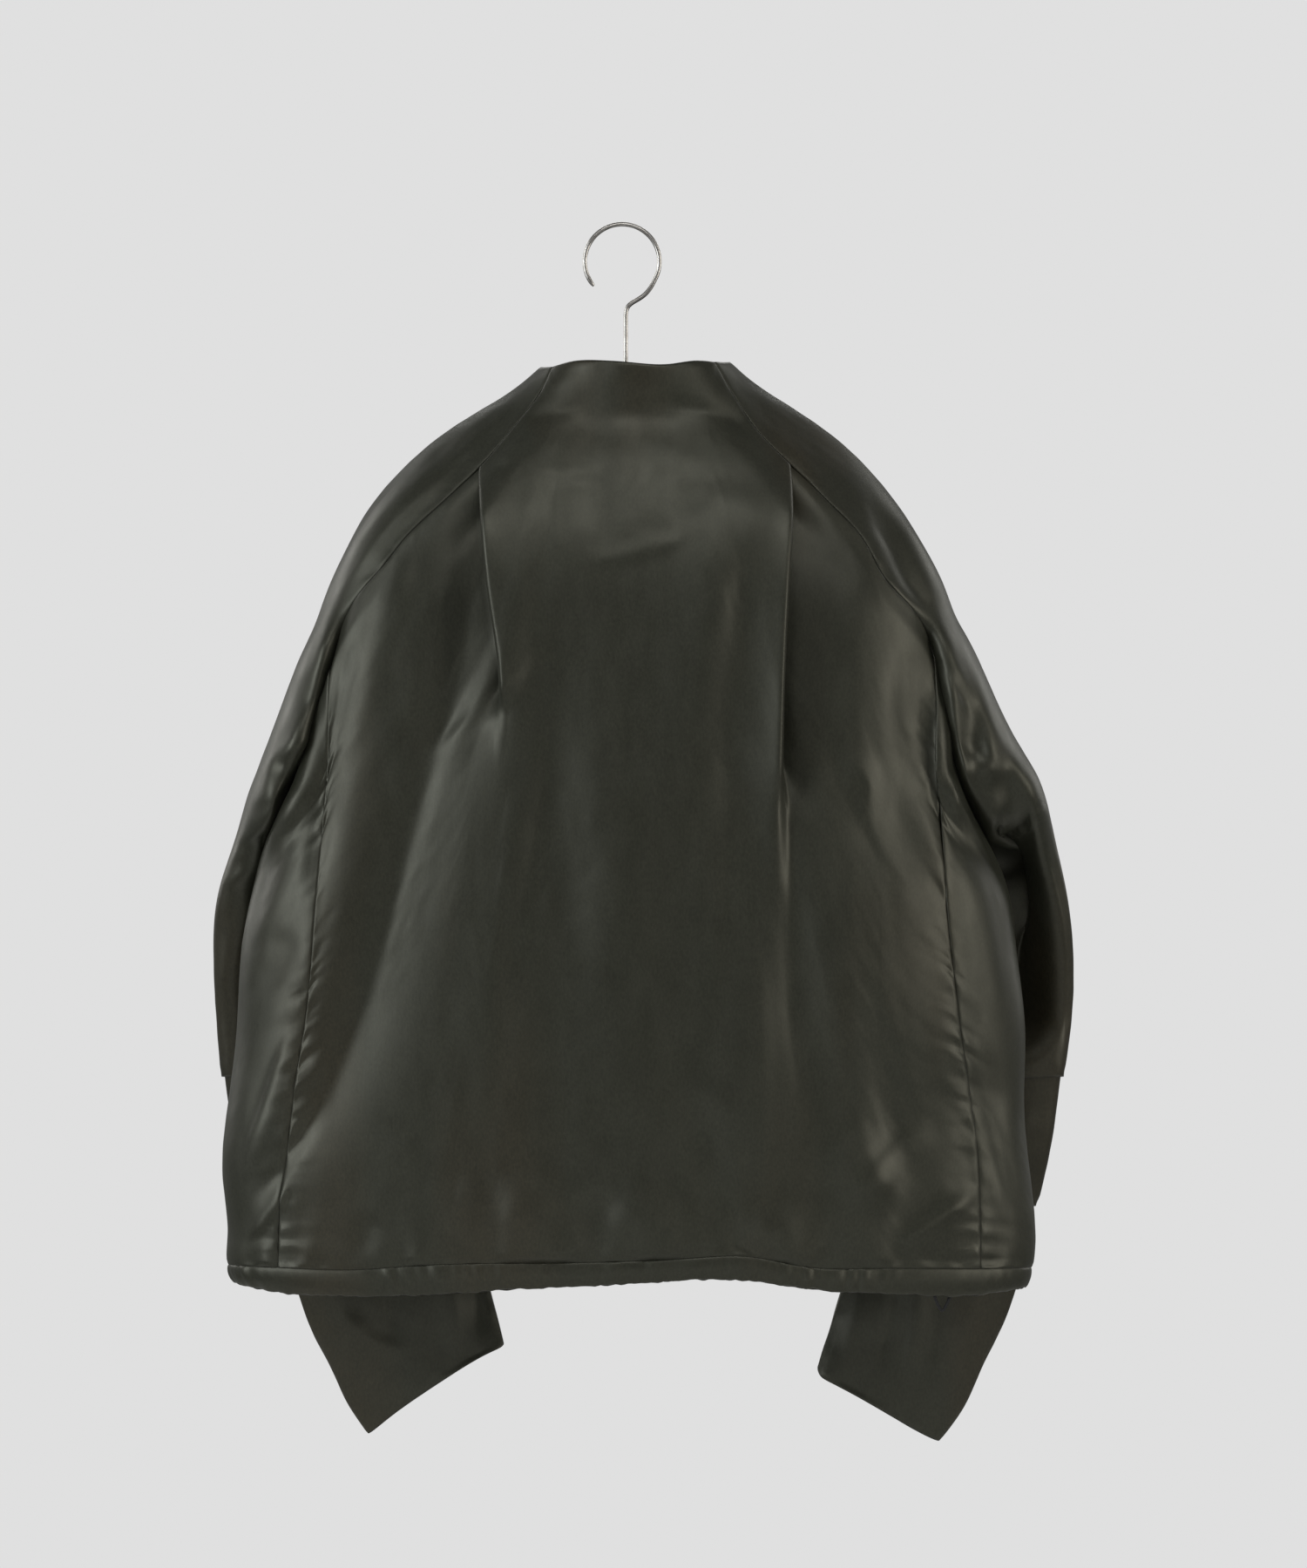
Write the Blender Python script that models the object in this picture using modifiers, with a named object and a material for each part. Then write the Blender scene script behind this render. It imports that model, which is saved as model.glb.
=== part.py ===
"""Field jacket on a hanger: raglan sleeves, cut-on stand collar, two back pleats and a drawcord hem.

The jacket hangs with its back to -Y. Sizes are millimetres, measured from the inner top of the hook:
x to the right of the hook's axis, "drop" downwards, y towards the jacket's front. Every panel is a grid
of points worked out from the section tables below, given its thickness by a Solidify modifier.
"""

import math
from collections import namedtuple

import bpy
import numpy as np

MM = 0.001
COLLECTION_NAME = "field_jacket"

# ---- cloth ----
WALL = 1.8
CASING_WALL = 2.6
SEAM_GAP = 0.4
SEAM_ROOM = 1.35              # how much more room than its half thickness a wall needs at an angle
SHARPEST_SEAM = math.radians(18)
PLACKET_LIFT = 2.4            # from the middle of the front's wall to the middle of the placket's
SHARED_POINT = 0.02           # edge points closer than this are one point of a seam
SEAM_POINTS = 3               # two edges that share fewer points only touch at a corner
BODY_CLEARANCE = 11.0         # between the middles of the body's and the sleeve's walls
CLEARANCE_RAMP = (-20.0, 24.0)  # from the armpit down, where that clearance begins and is full
PUSH_SOFTNESS = 0.02          # how gently the sleeves bend where they begin to lie on the body
HEM_EASE = 50.0               # below the hem, where the sleeves are free again

# ---- heights on the jacket, as drops below the hook ----
ARMPIT_DROP = 436.0
CASING_DROP = 836.0
BODY_ROWS = 18
ROW_CROWDING = 1.25           # the rows lie closer towards the collar
ARMHOLE_STEPS = 5
ARMHOLE_BEND = 1.6            # how flat the armhole's curve is under the arm
SLEEVE_STEPS = 8
SLEEVE_LEAVES = (285.0, 350.0)  # where the sleeve's own outline takes over from the body's
FOLDS_BEGIN = (180.0, 260.0)
FOLDS_END = (800.0, 836.0)
FOLD_RISE = (-0.12, 0.25)     # along a fold, as shares of its run
FOLD_FALL = (0.7, 1.08)
FOLDS_INSIDE = (0.1, 0.6)     # folds fade out towards the body's edge, as shares of its depth

# ---- pleats: a knife pleat's zone, how far it slides the cloth, and how high its layers stack ----
PLEAT_ZONE = 24.0
PLEAT_SLIDE = 18.0
PLEAT_FOLD_AT = 8.65
PLEAT_FOLD_LENGTH = 2.5
PLEAT_LAYER = 3.4
PLEAT_REACH = (40.0, 90.0)    # beyond the pleat its lift fades out between these distances
PLEAT_ROOM = 1.2              # of the layers' lift, kept free beside the raglan seam
PLEAT_CORNER = 0.9
PLEAT_CORNER_REACH = 22.0
PLEAT_FULL_DROP = 330.0
PLEAT_END_DROP = 440.0
PLEAT_COLUMNS = (-24.0, -16.0, -12.0, -8.65, -5.0, 0.0, 5.0, 8.65, 12.0, 16.0, 24.0)

# ---- tucks across the sleeves ----
TUCK_STEP = 3.0
TUCK_CLEARANCE = 1.8
TUCK_FLATTENING = 1.25        # a lapped length is narrower by this much more from back to front

# ---- hanger: a shaped bar under the shoulders, with a wire hook ----
HANGER_ENDS = (-187.0, 209.0)
HANGER_TOP_DROP = 138.0
HANGER_BOW = 61.0
HANGER_NECK_RADIUS = 8.0
HANGER_SHOULDER_RADIUS = 15.0
HANGER_ROUND_END = 14.0
HANGER_SEAT = 2.8             # from the middle of the shoulder's wall down to the bar's top
HANGER_RISE = (0.7, 0.95)     # along each arm, where the bar leaves its bow for the shoulder's line
HANGER_SWELL = (0.1, 0.75)    # along each arm, where it grows from the neck's radius to the shoulder's
HANGER_STEPS = 17
HANGER_END_STEPS = 4
HANGER_END_TURN = 0.25        # the first turn of a round end, in radians
WIRE_DIAMETER = 3.7
HOOK_BOWL_RADIUS = 30.0       # to the middle of the wire
HOOK_TIP_ANGLE = 221.0
HOOK_LEAVE_ANGLE = -24.0
HOOK_NECK = ((24.6, 46.0), (20.4, 52.4), (14.6, 57.4), (8.6, 61.0), (4.6, 64.6), (3.1, 69.6), (2.9, 76.0),
             (2.9, 104.0), (2.9, 137.6))

# ---- the drawcord's loop, just inside the hem's lower edge ----
CORD_DIAMETER = 2.6
LOOP_SPREAD = ((252.4, 846.0), (252.6, 852.0), (253.6, 858.0), (255.4, 863.6), (257.4, 868.6), (259.6, 871.2),
               (261.2, 868.6), (262.4, 863.6), (263.2, 858.0), (263.8, 852.0), (264.2, 846.0))
LOOP_INSIDE = 3.9             # from the middle of the casing's wall to the middle of the cord
LOOP_LEVEL = 860.0            # the level section that it hangs beside

# ---- colours ----
OLIVE = (0.052, 0.054, 0.042)
OLIVE_DARK = (0.040, 0.042, 0.033)
BLACK = (0.012, 0.012, 0.013)
STEEL = (0.50, 0.48, 0.45)
WOOD = (0.30, 0.19, 0.10)


class Table:
    """Rows of named columns, each read as a smooth curve (natural cubic spline) along the first."""

    def __init__(self, names, rows):
        values = np.array(rows, dtype=float).T
        self.first = values[0]
        self.columns = dict(zip(names.split(), values))
        self.bends = {name: self.spline_bends(column) for name, column in self.columns.items()}

    def spline_bends(self, column):
        count = len(self.first)
        step = np.diff(self.first)
        system = np.eye(count)
        target = np.zeros(count)
        for i in range(1, count - 1):
            system[i, i - 1:i + 2] = step[i - 1], 2 * (step[i - 1] + step[i]), step[i]
            rise = (column[i + 1] - column[i]) / step[i] - (column[i] - column[i - 1]) / step[i - 1]
            target[i] = 6 * rise
        return np.linalg.solve(system, target)

    def __call__(self, name, at):
        at = np.clip(at, self.first[0], self.first[-1])
        column, bends = self.columns[name], self.bends[name]
        i = np.clip(np.searchsorted(self.first, at) - 1, 0, len(self.first) - 2)
        step = self.first[i + 1] - self.first[i]
        low = (self.first[i + 1] - at) / step
        high = 1 - low
        curve = (low ** 3 - low) * bends[i] + (high ** 3 - high) * bends[i + 1]
        return low * column[i] + high * column[i + 1] + curve * step ** 2 / 6


# The body's level sections. Above the armpit its edges are the jacket's outline, sleeves included.
BODY = Table("drop left right back front squareness", (
    (104, -59, 82, 56, 53, 2.00),
    (115, -67, 92, 58, 55, 2.00),
    (125, -78, 103, 61, 57, 2.00),
    (135, -90, 117, 64, 59, 2.00),
    (153, -120, 145, 70, 63, 2.02),
    (175, -152, 175, 77, 67, 2.05),
    (201, -181, 202, 83, 71, 2.10),
    (228, -204, 224, 88, 74, 2.15),
    (257, -220, 242, 92, 76, 2.20),
    (300, -239, 262, 96, 78, 2.30),
    (350, -248, 263, 98, 79, 2.36),
    (400, -254, 264, 99, 79, 2.40),
    (437, -260, 268, 99, 78, 2.40),
    (483, -280, 286, 99, 77, 2.40),
    (530, -294, 307, 99, 76, 2.40),
    (576, -304, 315, 98, 75, 2.40),
    (645, -309, 323, 96, 73, 2.40),
    (707, -316, 322, 94, 71, 2.40),
    (763, -320, 327, 92, 70, 2.40),
    (812, -316, 331, 90, 69, 2.40),
    (836, -316, 329, 88, 68, 2.40),
    (862, -303, 322, 86, 67, 2.40),
))

# Raglan seams from the collar down to the side panel's point, in the order drop, x.
RAGLAN = {
    -1: ((113, -55), (132, -67), (152, -84), (172, -100), (194, -118), (212, -136), (230, -155),
         (250, -175), (270, -190), (292, -209), (318, -224), (347, -231.5)),
    1: ((109, 73), (128, 86), (148, 101), (168, 116), (191, 138), (208, 155), (225, 171),
        (244, 189), (262, 200), (284, 212), (308, 234), (335, 248)),
}

# Side seams of the back and front, from the side panel's point down to the hem.
SIDE_SEAM = {
    -1: Table("drop x", ((347, -231.5), (408, -233), (469, -238), (535, -244), (622, -252),
                         (675, -260), (743, -270), (801, -276), (840, -277))),
    1: Table("drop x", ((335, 248), (415, 250.6), (474, 254), (553, 260), (637, 270),
                        (710, 281), (771, 287), (805, 288), (840, 288))),
}

# The collar's top edge, and the hem: its casing seam and its lower edge.
COLLAR_BACK = Table("x drop", ((-55, 113), (-38, 108.4), (-18, 107.6), (2, 108.8), (21, 110.6),
                               (38, 110.6), (57, 108), (73, 109)))
COLLAR_FRONT = Table("x drop", ((-55, 113), (-36, 116), (-18, 118.5), (0, 120), (24, 118.5), (48, 114),
                                (73, 109)))
CASING_SEAM = Table("x drop", ((-320, 834), (-276, 836.5), (-215, 838.5), (-177, 836), (-52, 833),
                               (60, 829), (102, 828), (147, 836), (200, 837.5), (290, 837.5), (333, 836.5)))
HEM_EDGE = Table("x drop", ((-320, 848), (-290, 855.5), (-241, 859), (-177, 859), (-93, 854),
                            (2, 849.5), (102, 847), (156, 854), (227, 857.5), (299, 857.5), (333, 851)))

# How far a column of the body has moved sideways from its top to the hem (the cloth widens below the pleats).
FLARE = Table("top bottom", ((-231.5, -277), (-141, -130), (-94, -84), (-55, -48), (0, 0),
                             (73, 64), (115, 107), (163, 155), (248, 288)))

# Soft folds of the back: a ridge (height > 0, towards -Y) or trough along a curve through three points.
Fold = namedtuple("Fold", "x_top drop_top x_mid drop_mid x_low drop_low half_width height")
FOLDS = (
    Fold(-108, 300, -171, 553, -262, 772, 26, 9.0),
    Fold(-140, 250, -186, 520, -226, 690, 22, -7.0),
    Fold(-258, 640, -284, 715, -304, 775, 12, 5.0),
    Fold(134, 330, 128, 520, 118, 640, 15, 6.0),
    Fold(165, 330, 160, 520, 150, 660, 20, -5.0),
    Fold(-20, 420, -14, 620, -6, 810, 26, -4.5),
    Fold(40, 400, 52, 600, 62, 800, 26, 4.0),
    Fold(210, 470, 222, 620, 238, 780, 24, 5.0),
    Fold(285, 770, 252, 795, 222, 820, 12, 4.0),
)

# The pleats' fold lines, given by the x where each begins on its raglan seam.
PLEATS = ((-1, -117.0), (1, 139.0))

# Outline of the sleeves above the armpit, where they leave the body's outline.
SHOULDER = {
    -1: Table("drop x back front", ((300, -239, 52, 48), (329, -251, 56, 54), (360, -264, 60, 60),
                                    (386, -273, 62, 64), (412, -283, 62, 67), (436, -292, 60, 69))),
    1: Table("drop x back front", ((300, 262, 52, 48), (328, 279, 56, 54), (353, 289, 60, 60),
                                   (378, 298, 63, 64), (399, 307, 64, 67), (436, 331, 60, 69))),
}

# The sleeves below the armpit: a section's outer and inner ends, and how far it bulges back and front.
SLEEVE_COLUMNS = "drop outer_x outer_y inner_drop inner_x inner_y back front"
SLEEVE = {
    -1: Table(SLEEVE_COLUMNS, (
        (436, -292, 0, 436, -260, 0, 60, 69),
        (460, -301, 4, 460, -266, 26, 52, 64),
        (485, -308, 10, 485, -256, 48, 46, 60),
        (530, -324, 22, 530, -232, 70, 36, 52),
        (589, -329, 38, 589, -196, 86, 28, 42),
        (652, -325, 51, 652, -166, 94, 26, 36),
        (683, -322, 56, 690, -154, 95, 25, 33),
        (740, -311, 64, 745, -134, 95, 24, 30),
        (787, -296, 70, 790, -119, 95, 23, 28),
        (820, -281, 75, 812, -109, 95, 22, 26),
        (857, -265, 80, 838, -103, 94, 20, 23),
        (891, -253, 82, 857, -99, 93, 19, 21),
        (921, -238, 84, 873, -95, 92, 17, 19),
        (947, -227, 85, 886, -92, 91, 16, 17),
        (974, -209, 86, 896, -90, 90, 15, 15),
    )),
    1: Table(SLEEVE_COLUMNS, (
        (436, 331, 0, 436, 268, 0, 60, 69),
        (458, 340, 4, 458, 270, 24, 54, 65),
        (479, 345, 9, 479, 263, 44, 48, 62),
        (530, 357, 20, 530, 242, 66, 36, 52),
        (589, 363.5, 36, 589, 220, 86, 28, 42),
        (640, 361, 48, 640, 203, 93, 26, 36),
        (683, 355, 55, 690, 193, 94, 25, 33),
        (740, 346, 63, 745, 183, 94, 24, 30),
        (787, 335.5, 70, 790, 178, 94, 23, 28),
        (820, 329, 75, 818, 175, 94, 22, 26),
        (857, 320, 80, 845, 172, 94, 20, 23),
        (891, 307, 82, 866, 166, 93, 19, 21),
        (921, 293, 84, 884, 161, 92, 17, 19),
        (950, 281, 85, 899, 156, 91, 16, 17),
        (980, 260, 86, 913, 152, 90, 15, 15),
    )),
}
# Rows of each length of a sleeve: each length starts under the lap of the one above it.
UPPER_ROWS = (436, 460, 484, 508, 534, 560, 588, 616, 644, 671, 683)
MIDDLE_ROWS = (671, 683, 714, 745, 775, 787)
LOWER_ROWS = {-1: (775, 787, 818, 850, 882, 913, 944, 974), 1: (775, 787, 819, 851, 883, 915, 948, 980)}
SIDE_NAME = {-1: "left", 1: "right"}


def smooth_step(value, low, high):
    t = np.clip((np.asarray(value, dtype=float) - low) / (high - low), 0, 1)
    return t * t * (3 - 2 * t)


# ---- the body's level sections ----

def ring_centre(drop):
    left, right = BODY("left", drop), BODY("right", drop)
    return (left + right) / 2, (right - left) / 2


def ring_depth(x, drop, face):
    """How far the body's back (face -1) or front (face 1) lies from the hook's plane."""
    centre, half = ring_centre(drop)
    squareness = BODY("squareness", drop)
    across = np.clip(np.abs((x - centre) / half), 0, 1)
    depth = BODY("back" if face < 0 else "front", drop)
    return depth * (1 - across ** squareness) ** (1 / squareness)


def ring_turn(x, drop):
    """The angle round the body, 0 at its edge, that a point of the back or front has."""
    centre, half = ring_centre(drop)
    across = np.clip(np.abs((x - centre) / half), 0, 1)
    return np.arccos(across ** (BODY("squareness", drop) / 2))


def ring_point(side, turn, drop):
    """A point round the body's edge: turn is negative to the back and positive to the front."""
    centre, half = ring_centre(drop)
    power = 2 / BODY("squareness", drop)
    depth = np.where(turn < 0, BODY("back", drop), BODY("front", drop))
    x = centre + side * half * np.abs(np.cos(turn)) ** power
    y = depth * np.sign(turn) * np.abs(np.sin(turn)) ** power
    return x, y


def fold_height(x, drop):
    """The height of the soft folds over the back's smooth surface."""
    height = np.zeros(np.broadcast(x, drop).shape)
    for fold in FOLDS:
        drops = (fold.drop_top, fold.drop_mid, fold.drop_low)
        line = np.polyfit(drops, (fold.x_top, fold.x_mid, fold.x_low), 2)
        away = (x - np.polyval(line, np.clip(drop, fold.drop_top, fold.drop_low))) / fold.half_width
        run = (drop - fold.drop_top) / (fold.drop_low - fold.drop_top)
        fade = smooth_step(run, *FOLD_RISE) * (1 - smooth_step(run, *FOLD_FALL))
        height += fold.height * fade * np.exp(-away ** 2)
    return height * smooth_step(drop, *FOLDS_BEGIN) * (1 - smooth_step(drop, *FOLDS_END))


def body_surface(x, drop, face):
    """The y of the body's back or front, with the back's folds."""
    depth = ring_depth(x, drop, face)
    if face < 0:
        inside = np.clip(depth / BODY("back", drop), 0, 1)
        depth = depth + fold_height(x, drop) * smooth_step(inside, *FOLDS_INSIDE)
    return face * depth


# ---- panels of the body ----

def pleat_fade(drop):
    return 1 - smooth_step(drop, PLEAT_FULL_DROP, PLEAT_END_DROP)


def raglan_points(side):
    return np.array(RAGLAN[side], dtype=float)


def top_line(collar, extra=()):
    """The upper edge of a body from the left side panel's point over the collar to the right one's."""
    left = raglan_points(-1)[::-1]
    right = raglan_points(1)
    inner = np.array((-38.0, -19.0, 0.0, 19.0, 38.0, 57.0))
    collar_line = np.column_stack((collar("drop", inner), inner))
    line = np.vstack((left, collar_line, right))
    xs = line[:, 1]
    more = np.array([x for x in extra if np.min(np.abs(xs - x)) > 1.5], dtype=float)
    all_x = np.sort(np.concatenate((xs, more)))
    return all_x, np.interp(all_x, xs, line[:, 0])


def body_grid(top_x, top_drop):
    """Columns that run from the upper edge to the casing, between the two side seams."""
    low_x = FLARE("bottom", top_x)
    low_drop = CASING_SEAM("drop", low_x)
    across = (low_x - low_x[0]) / (low_x[-1] - low_x[0])
    down = np.linspace(0, 1, BODY_ROWS + 1)[:, None] ** ROW_CROWDING
    drop = (1 - down) * top_drop + down * low_drop
    x = (1 - down) * top_x + down * low_x
    for side, weight in ((-1, 1 - across), (1, across)):
        edge = 0 if side < 0 else -1
        bow = SIDE_SEAM[side]("x", drop[:, edge]) - x[:, edge]
        x = x + bow[:, None] * weight ** 2
    return x, drop


def pleat_back(x, drop):
    """Folds the pleats into the back's rows: slides each row sideways and stacks its layers."""
    lift = np.zeros_like(x)
    folded_x, folded_drop = x.copy(), drop.copy()
    for side, begin in PLEATS:
        column = np.argmin(np.abs(x[0] - begin))
        for row in range(len(x)):
            fade = pleat_fade(drop[row, column])
            away = (x[row] - x[row, column]) * -side
            zone = np.clip(away / PLEAT_ZONE, -1, 1)
            slide = -PLEAT_SLIDE * fade * np.sin(math.pi * zone)
            folded_x[row] += slide * -side
            folded_drop[row] = np.interp(folded_x[row], x[row], drop[row])
            layers = np.tanh((away - PLEAT_FOLD_AT) / PLEAT_FOLD_LENGTH)
            layers = layers + np.tanh((away + PLEAT_FOLD_AT) / PLEAT_FOLD_LENGTH)
            reach = 1 - smooth_step(np.abs(away), *PLEAT_REACH)
            lift[row] += PLEAT_LAYER / 2 * fade * layers * reach
    return folded_x, folded_drop, lift


def seam_lift(x):
    """How far the pleats' stacked layers lift the raglan seams, averaged over the layers."""
    lift = 0.0
    for side, begin in PLEATS:
        away = (x - begin) * -side
        reach = 1 - smooth_step(np.abs(away), *PLEAT_REACH)
        lift = lift + PLEAT_LAYER * reach * np.sin(math.pi / 2 * np.clip(away / PLEAT_ZONE, -1, 1))
    return lift


def back_panel():
    extra = [begin + side * offset for side, begin in PLEATS for offset in PLEAT_COLUMNS]
    x, drop = body_grid(*top_line(COLLAR_BACK, extra))
    x, drop, lift = pleat_back(x, drop)
    return np.dstack((x, body_surface(x, drop, -1) - lift, -drop))


def front_panels():
    x, drop = body_grid(*top_line(COLLAR_FRONT))
    whole = np.dstack((x, body_surface(x, drop, 1), -drop))
    middle = int(np.argmin(np.abs(x[0])))
    return whole[:, :middle + 1], whole[:, middle:]


def side_panel(side):
    """From the back's side seam (first column) round the body's edge to the front's (last column)."""
    seam = SIDE_SEAM[side]
    horn = seam.first[0]
    turn_share = np.linspace(-1, 1, 2 * ARMHOLE_STEPS + 1)
    top = ARMPIT_DROP - (ARMPIT_DROP - horn) * np.abs(turn_share) ** ARMHOLE_BEND
    down = np.linspace(0, 1, BODY_ROWS + 1)[:, None] ** ROW_CROWDING
    low = CASING_SEAM("drop", seam("x", CASING_DROP))
    edge_x = BODY("left" if side < 0 else "right", CASING_DROP)
    low = low + (CASING_SEAM("drop", edge_x) - low) * (1 - np.abs(turn_share))
    drop = (1 - down) * top + down * low
    turn = turn_share * ring_turn(seam("x", drop), drop)
    x, y = ring_point(side, turn, drop)
    inside = np.clip(np.abs(y) / BODY("back", drop), 0, 1)
    folds = np.where(turn < 0, fold_height(x, drop) * smooth_step(inside, *FOLDS_INSIDE), 0)
    return np.dstack((x, y - folds, -drop))


# ---- sleeves ----

def arc(side, start, outer, bulge, face, share):
    """Level arc from the outer end (share 0) over a crest to the seam point start (share 1)."""
    rise = np.clip(np.abs(start[1] - outer[1]) / bulge, 0, 1)
    turn = math.pi - math.asin(rise)
    reach = math.sqrt(1 - rise ** 2)
    middle = (start[0] + reach * outer[0]) / (1 + reach)
    x = middle + (outer[0] - middle) * np.cos(turn * share)
    y = outer[1] + face * bulge * np.sin(turn * share)
    return x, y


def shoulder_row(side, drop, seam_back, seam_front):
    """One row of the sleeve above the armpit, from the back seam round the outline to the front seam."""
    shares = np.linspace(1, 0, SLEEVE_STEPS + 1)
    leave = smooth_step(drop, *SLEEVE_LEAVES)
    outline = BODY("left" if side < 0 else "right", drop)
    outer = (SHOULDER[side]("x", drop) if drop > SHOULDER[side].first[0] else outline, 0.0)
    halves = []
    for face, seam, name in ((-1, seam_back, "back"), (1, seam_front, "front")):
        turn = ring_turn(seam[0], drop) * face * shares
        ring_x, ring_y = ring_point(side, turn, drop)
        ring_y = ring_y + (seam[1] - ring_y[0]) * shares ** 2
        bulge = max(SHOULDER[side](name, drop), 1.002 * abs(seam[1]))
        own = arc(side, seam, outer, bulge, face, shares)
        x = ring_x + (own[0] - ring_x) * leave
        y = ring_y + (own[1] - ring_y) * leave
        halves.append(np.column_stack((x, y, np.full_like(x, -drop))))
    return np.vstack((halves[0], halves[1][::-1][1:]))


def sleeve_row(side, drop, inset):
    """One closed row of the sleeve below the armpit, from the underarm seam round to it again."""
    table = SLEEVE[side]
    outer = np.array((table("outer_x", drop), table("outer_y", drop), -drop))
    inner = np.array((table("inner_x", drop), table("inner_y", drop), -table("inner_drop", drop)))
    middle, half = (outer + inner) / 2, (outer - inner) / 2
    half = half * (1 - inset / np.linalg.norm(half))
    turn = np.linspace(math.pi, -math.pi, 2 * SLEEVE_STEPS + 1)[:, None]
    flat = inset * TUCK_FLATTENING
    bulge = np.where(turn > 0, flat - table("back", drop), table("front", drop) - flat)
    row = middle + half * np.cos(turn)
    row[:, 1:2] += bulge * np.abs(np.sin(turn))
    ramp = smooth_step(drop - ARMPIT_DROP, *CLEARANCE_RAMP)
    return clear_of_body(row, TUCK_CLEARANCE * inset + BODY_CLEARANCE * ramp)


def clear_of_body(points, clearance):
    """Moves points that lie in the body, or closer than the clearance, straight out of it."""
    drop = np.clip(-points[:, 2], BODY.first[0], BODY.first[-1])
    centre, half = ring_centre(drop)
    depth = np.where(points[:, 1] < 0, BODY("back", drop), BODY("front", drop))
    power = BODY("squareness", drop)
    away = np.column_stack((points[:, 0] - centre, points[:, 1]))
    size = (np.abs(away[:, 0] / half) ** power + np.abs(away[:, 1] / depth) ** power) ** (1 / power)
    wanted = 1 + clearance / np.linalg.norm(away, axis=1)
    push = PUSH_SOFTNESS * np.logaddexp(0, (wanted / size - 1) / PUSH_SOFTNESS)
    below = smooth_step(-points[:, 2], BODY.first[-1], BODY.first[-1] + HEM_EASE)
    away = away * (1 + push * (1 - below))[:, None]
    return np.column_stack((centre + away[:, 0], away[:, 1], points[:, 2]))


def sleeve_grid(side, drops, tuck, armhole):
    """A length of the sleeve; the upper one starts at the collar and follows raglan and armhole seams."""
    rows = []
    if tuck == 0:
        for drop, x in RAGLAN[side][:-1]:
            back = (x, body_surface(np.array(x), np.array(drop), -1) - seam_lift(x))
            front = (x, body_surface(np.array(x), np.array(drop), 1))
            rows.append(shoulder_row(side, float(drop), back, front))
        for step in range(ARMHOLE_STEPS):
            back, front = armhole[step], armhole[-1 - step]
            row = shoulder_row(side, -back[2], back[:2], front[:2])
            row[0], row[-1] = back, front
            rows.append(row)
    for drop in drops:
        rows.append(sleeve_row(side, float(drop), TUCK_STEP * tuck))
    return np.array(rows)


# ---- edges and thickness ----

def edge_lines(grid):
    """The four edges of a grid, each with the line of points next to it (views into the grid)."""
    across = grid.swapaxes(0, 1)
    return {"top": (grid[0], grid[1]), "bottom": (grid[-1], grid[-2]),
            "first": (across[0], across[1]), "last": (across[-1], across[-2])}


def square_in(line, inner):
    """Unit directions from an edge into its panel, square to the edge."""
    along = np.gradient(line, axis=0)
    along /= np.linalg.norm(along, axis=1)[:, None] + 1e-9
    inward = inner - line
    inward -= along * np.sum(inward * along, axis=1)[:, None]
    return inward / (np.linalg.norm(inward, axis=1)[:, None] + 1e-9)


def seam_insets(grids):
    """How far each edge stops short of its seam, so that the walls of two panels stay a gap apart.

    Panels that are sewn share their edge points. Where they meet at an angle, their walls need more room.
    """
    edges = []
    for name, grid in grids.items():
        for edge, (line, inner) in edge_lines(grid).items():
            edges.append((name, edge, line, square_in(line, inner)))
    insets = {}
    for name, edge, line, inward in edges:
        inset = np.full(len(line), SEAM_GAP / 2)
        for other_name, other_edge, other_line, other_inward in edges:
            if (name, edge) == (other_name, other_edge):
                continue
            apart = np.linalg.norm(line[:, None] - other_line[None], axis=2)
            shared = np.argwhere(apart < SHARED_POINT)
            if len(shared) < SEAM_POINTS:
                continue
            for mine, theirs in shared:
                opening = np.arccos(np.clip(np.dot(inward[mine], other_inward[theirs]), -1, 1))
                room = SEAM_ROOM * WALL / 2 / math.tan(max(opening, SHARPEST_SEAM) / 2)
                inset[mine] = max(inset[mine], SEAM_GAP / 2 + room)
        insets[name, edge] = inset
    return insets


def draw_in(grid, edge, amount):
    """Moves one edge of a grid in along its own surface."""
    line, inner = edge_lines(grid)[edge]
    line += square_in(line, inner) * np.broadcast_to(amount, (len(line),))[:, None]


def grid_normals(grid):
    normals = np.cross(np.gradient(grid, axis=0), np.gradient(grid, axis=1))
    return normals / (np.linalg.norm(normals, axis=2)[:, :, None] + 1e-9)


def material(name, colour, roughness, metallic=0.0):
    made = bpy.data.materials.new(name)
    made.use_nodes = True
    shader = made.node_tree.nodes["Principled BSDF"]
    shader.inputs["Base Color"].default_value = (*colour, 1)
    shader.inputs["Roughness"].default_value = roughness
    shader.inputs["Metallic"].default_value = metallic
    return made


def cloth(name, grid, collection, colour, wall=WALL):
    """A named panel: the grid as one open sheet, thickened evenly to both sides."""
    rows, columns = grid.shape[:2]
    points = [tuple(point * MM) for point in grid.reshape(-1, 3)]
    faces = []
    for row in range(rows - 1):
        for column in range(columns - 1):
            corner = row * columns + column
            faces.append((corner, corner + columns, corner + columns + 1, corner + 1))
    mesh = bpy.data.meshes.new(name)
    mesh.from_pydata(points, [], faces)
    mesh.shade_smooth()
    made = bpy.data.objects.new(name, mesh)
    collection.objects.link(made)
    mesh.materials.append(material(name, colour, 0.42))
    thick = made.modifiers.new("wall", "SOLIDIFY")
    thick.thickness = wall * MM
    thick.offset = 0
    return made


def sleeve_grids(side, armhole):
    grids = {}
    lengths = (("upper", UPPER_ROWS), ("middle", MIDDLE_ROWS), ("lower", LOWER_ROWS[side]))
    for tuck, (length, drops) in enumerate(lengths):
        grid = sleeve_grid(side, drops, tuck, armhole)
        grids[f"sleeve_{SIDE_NAME[side]}_{length}"] = grid[:, ::-1].copy() if side < 0 else grid
    return grids


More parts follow.
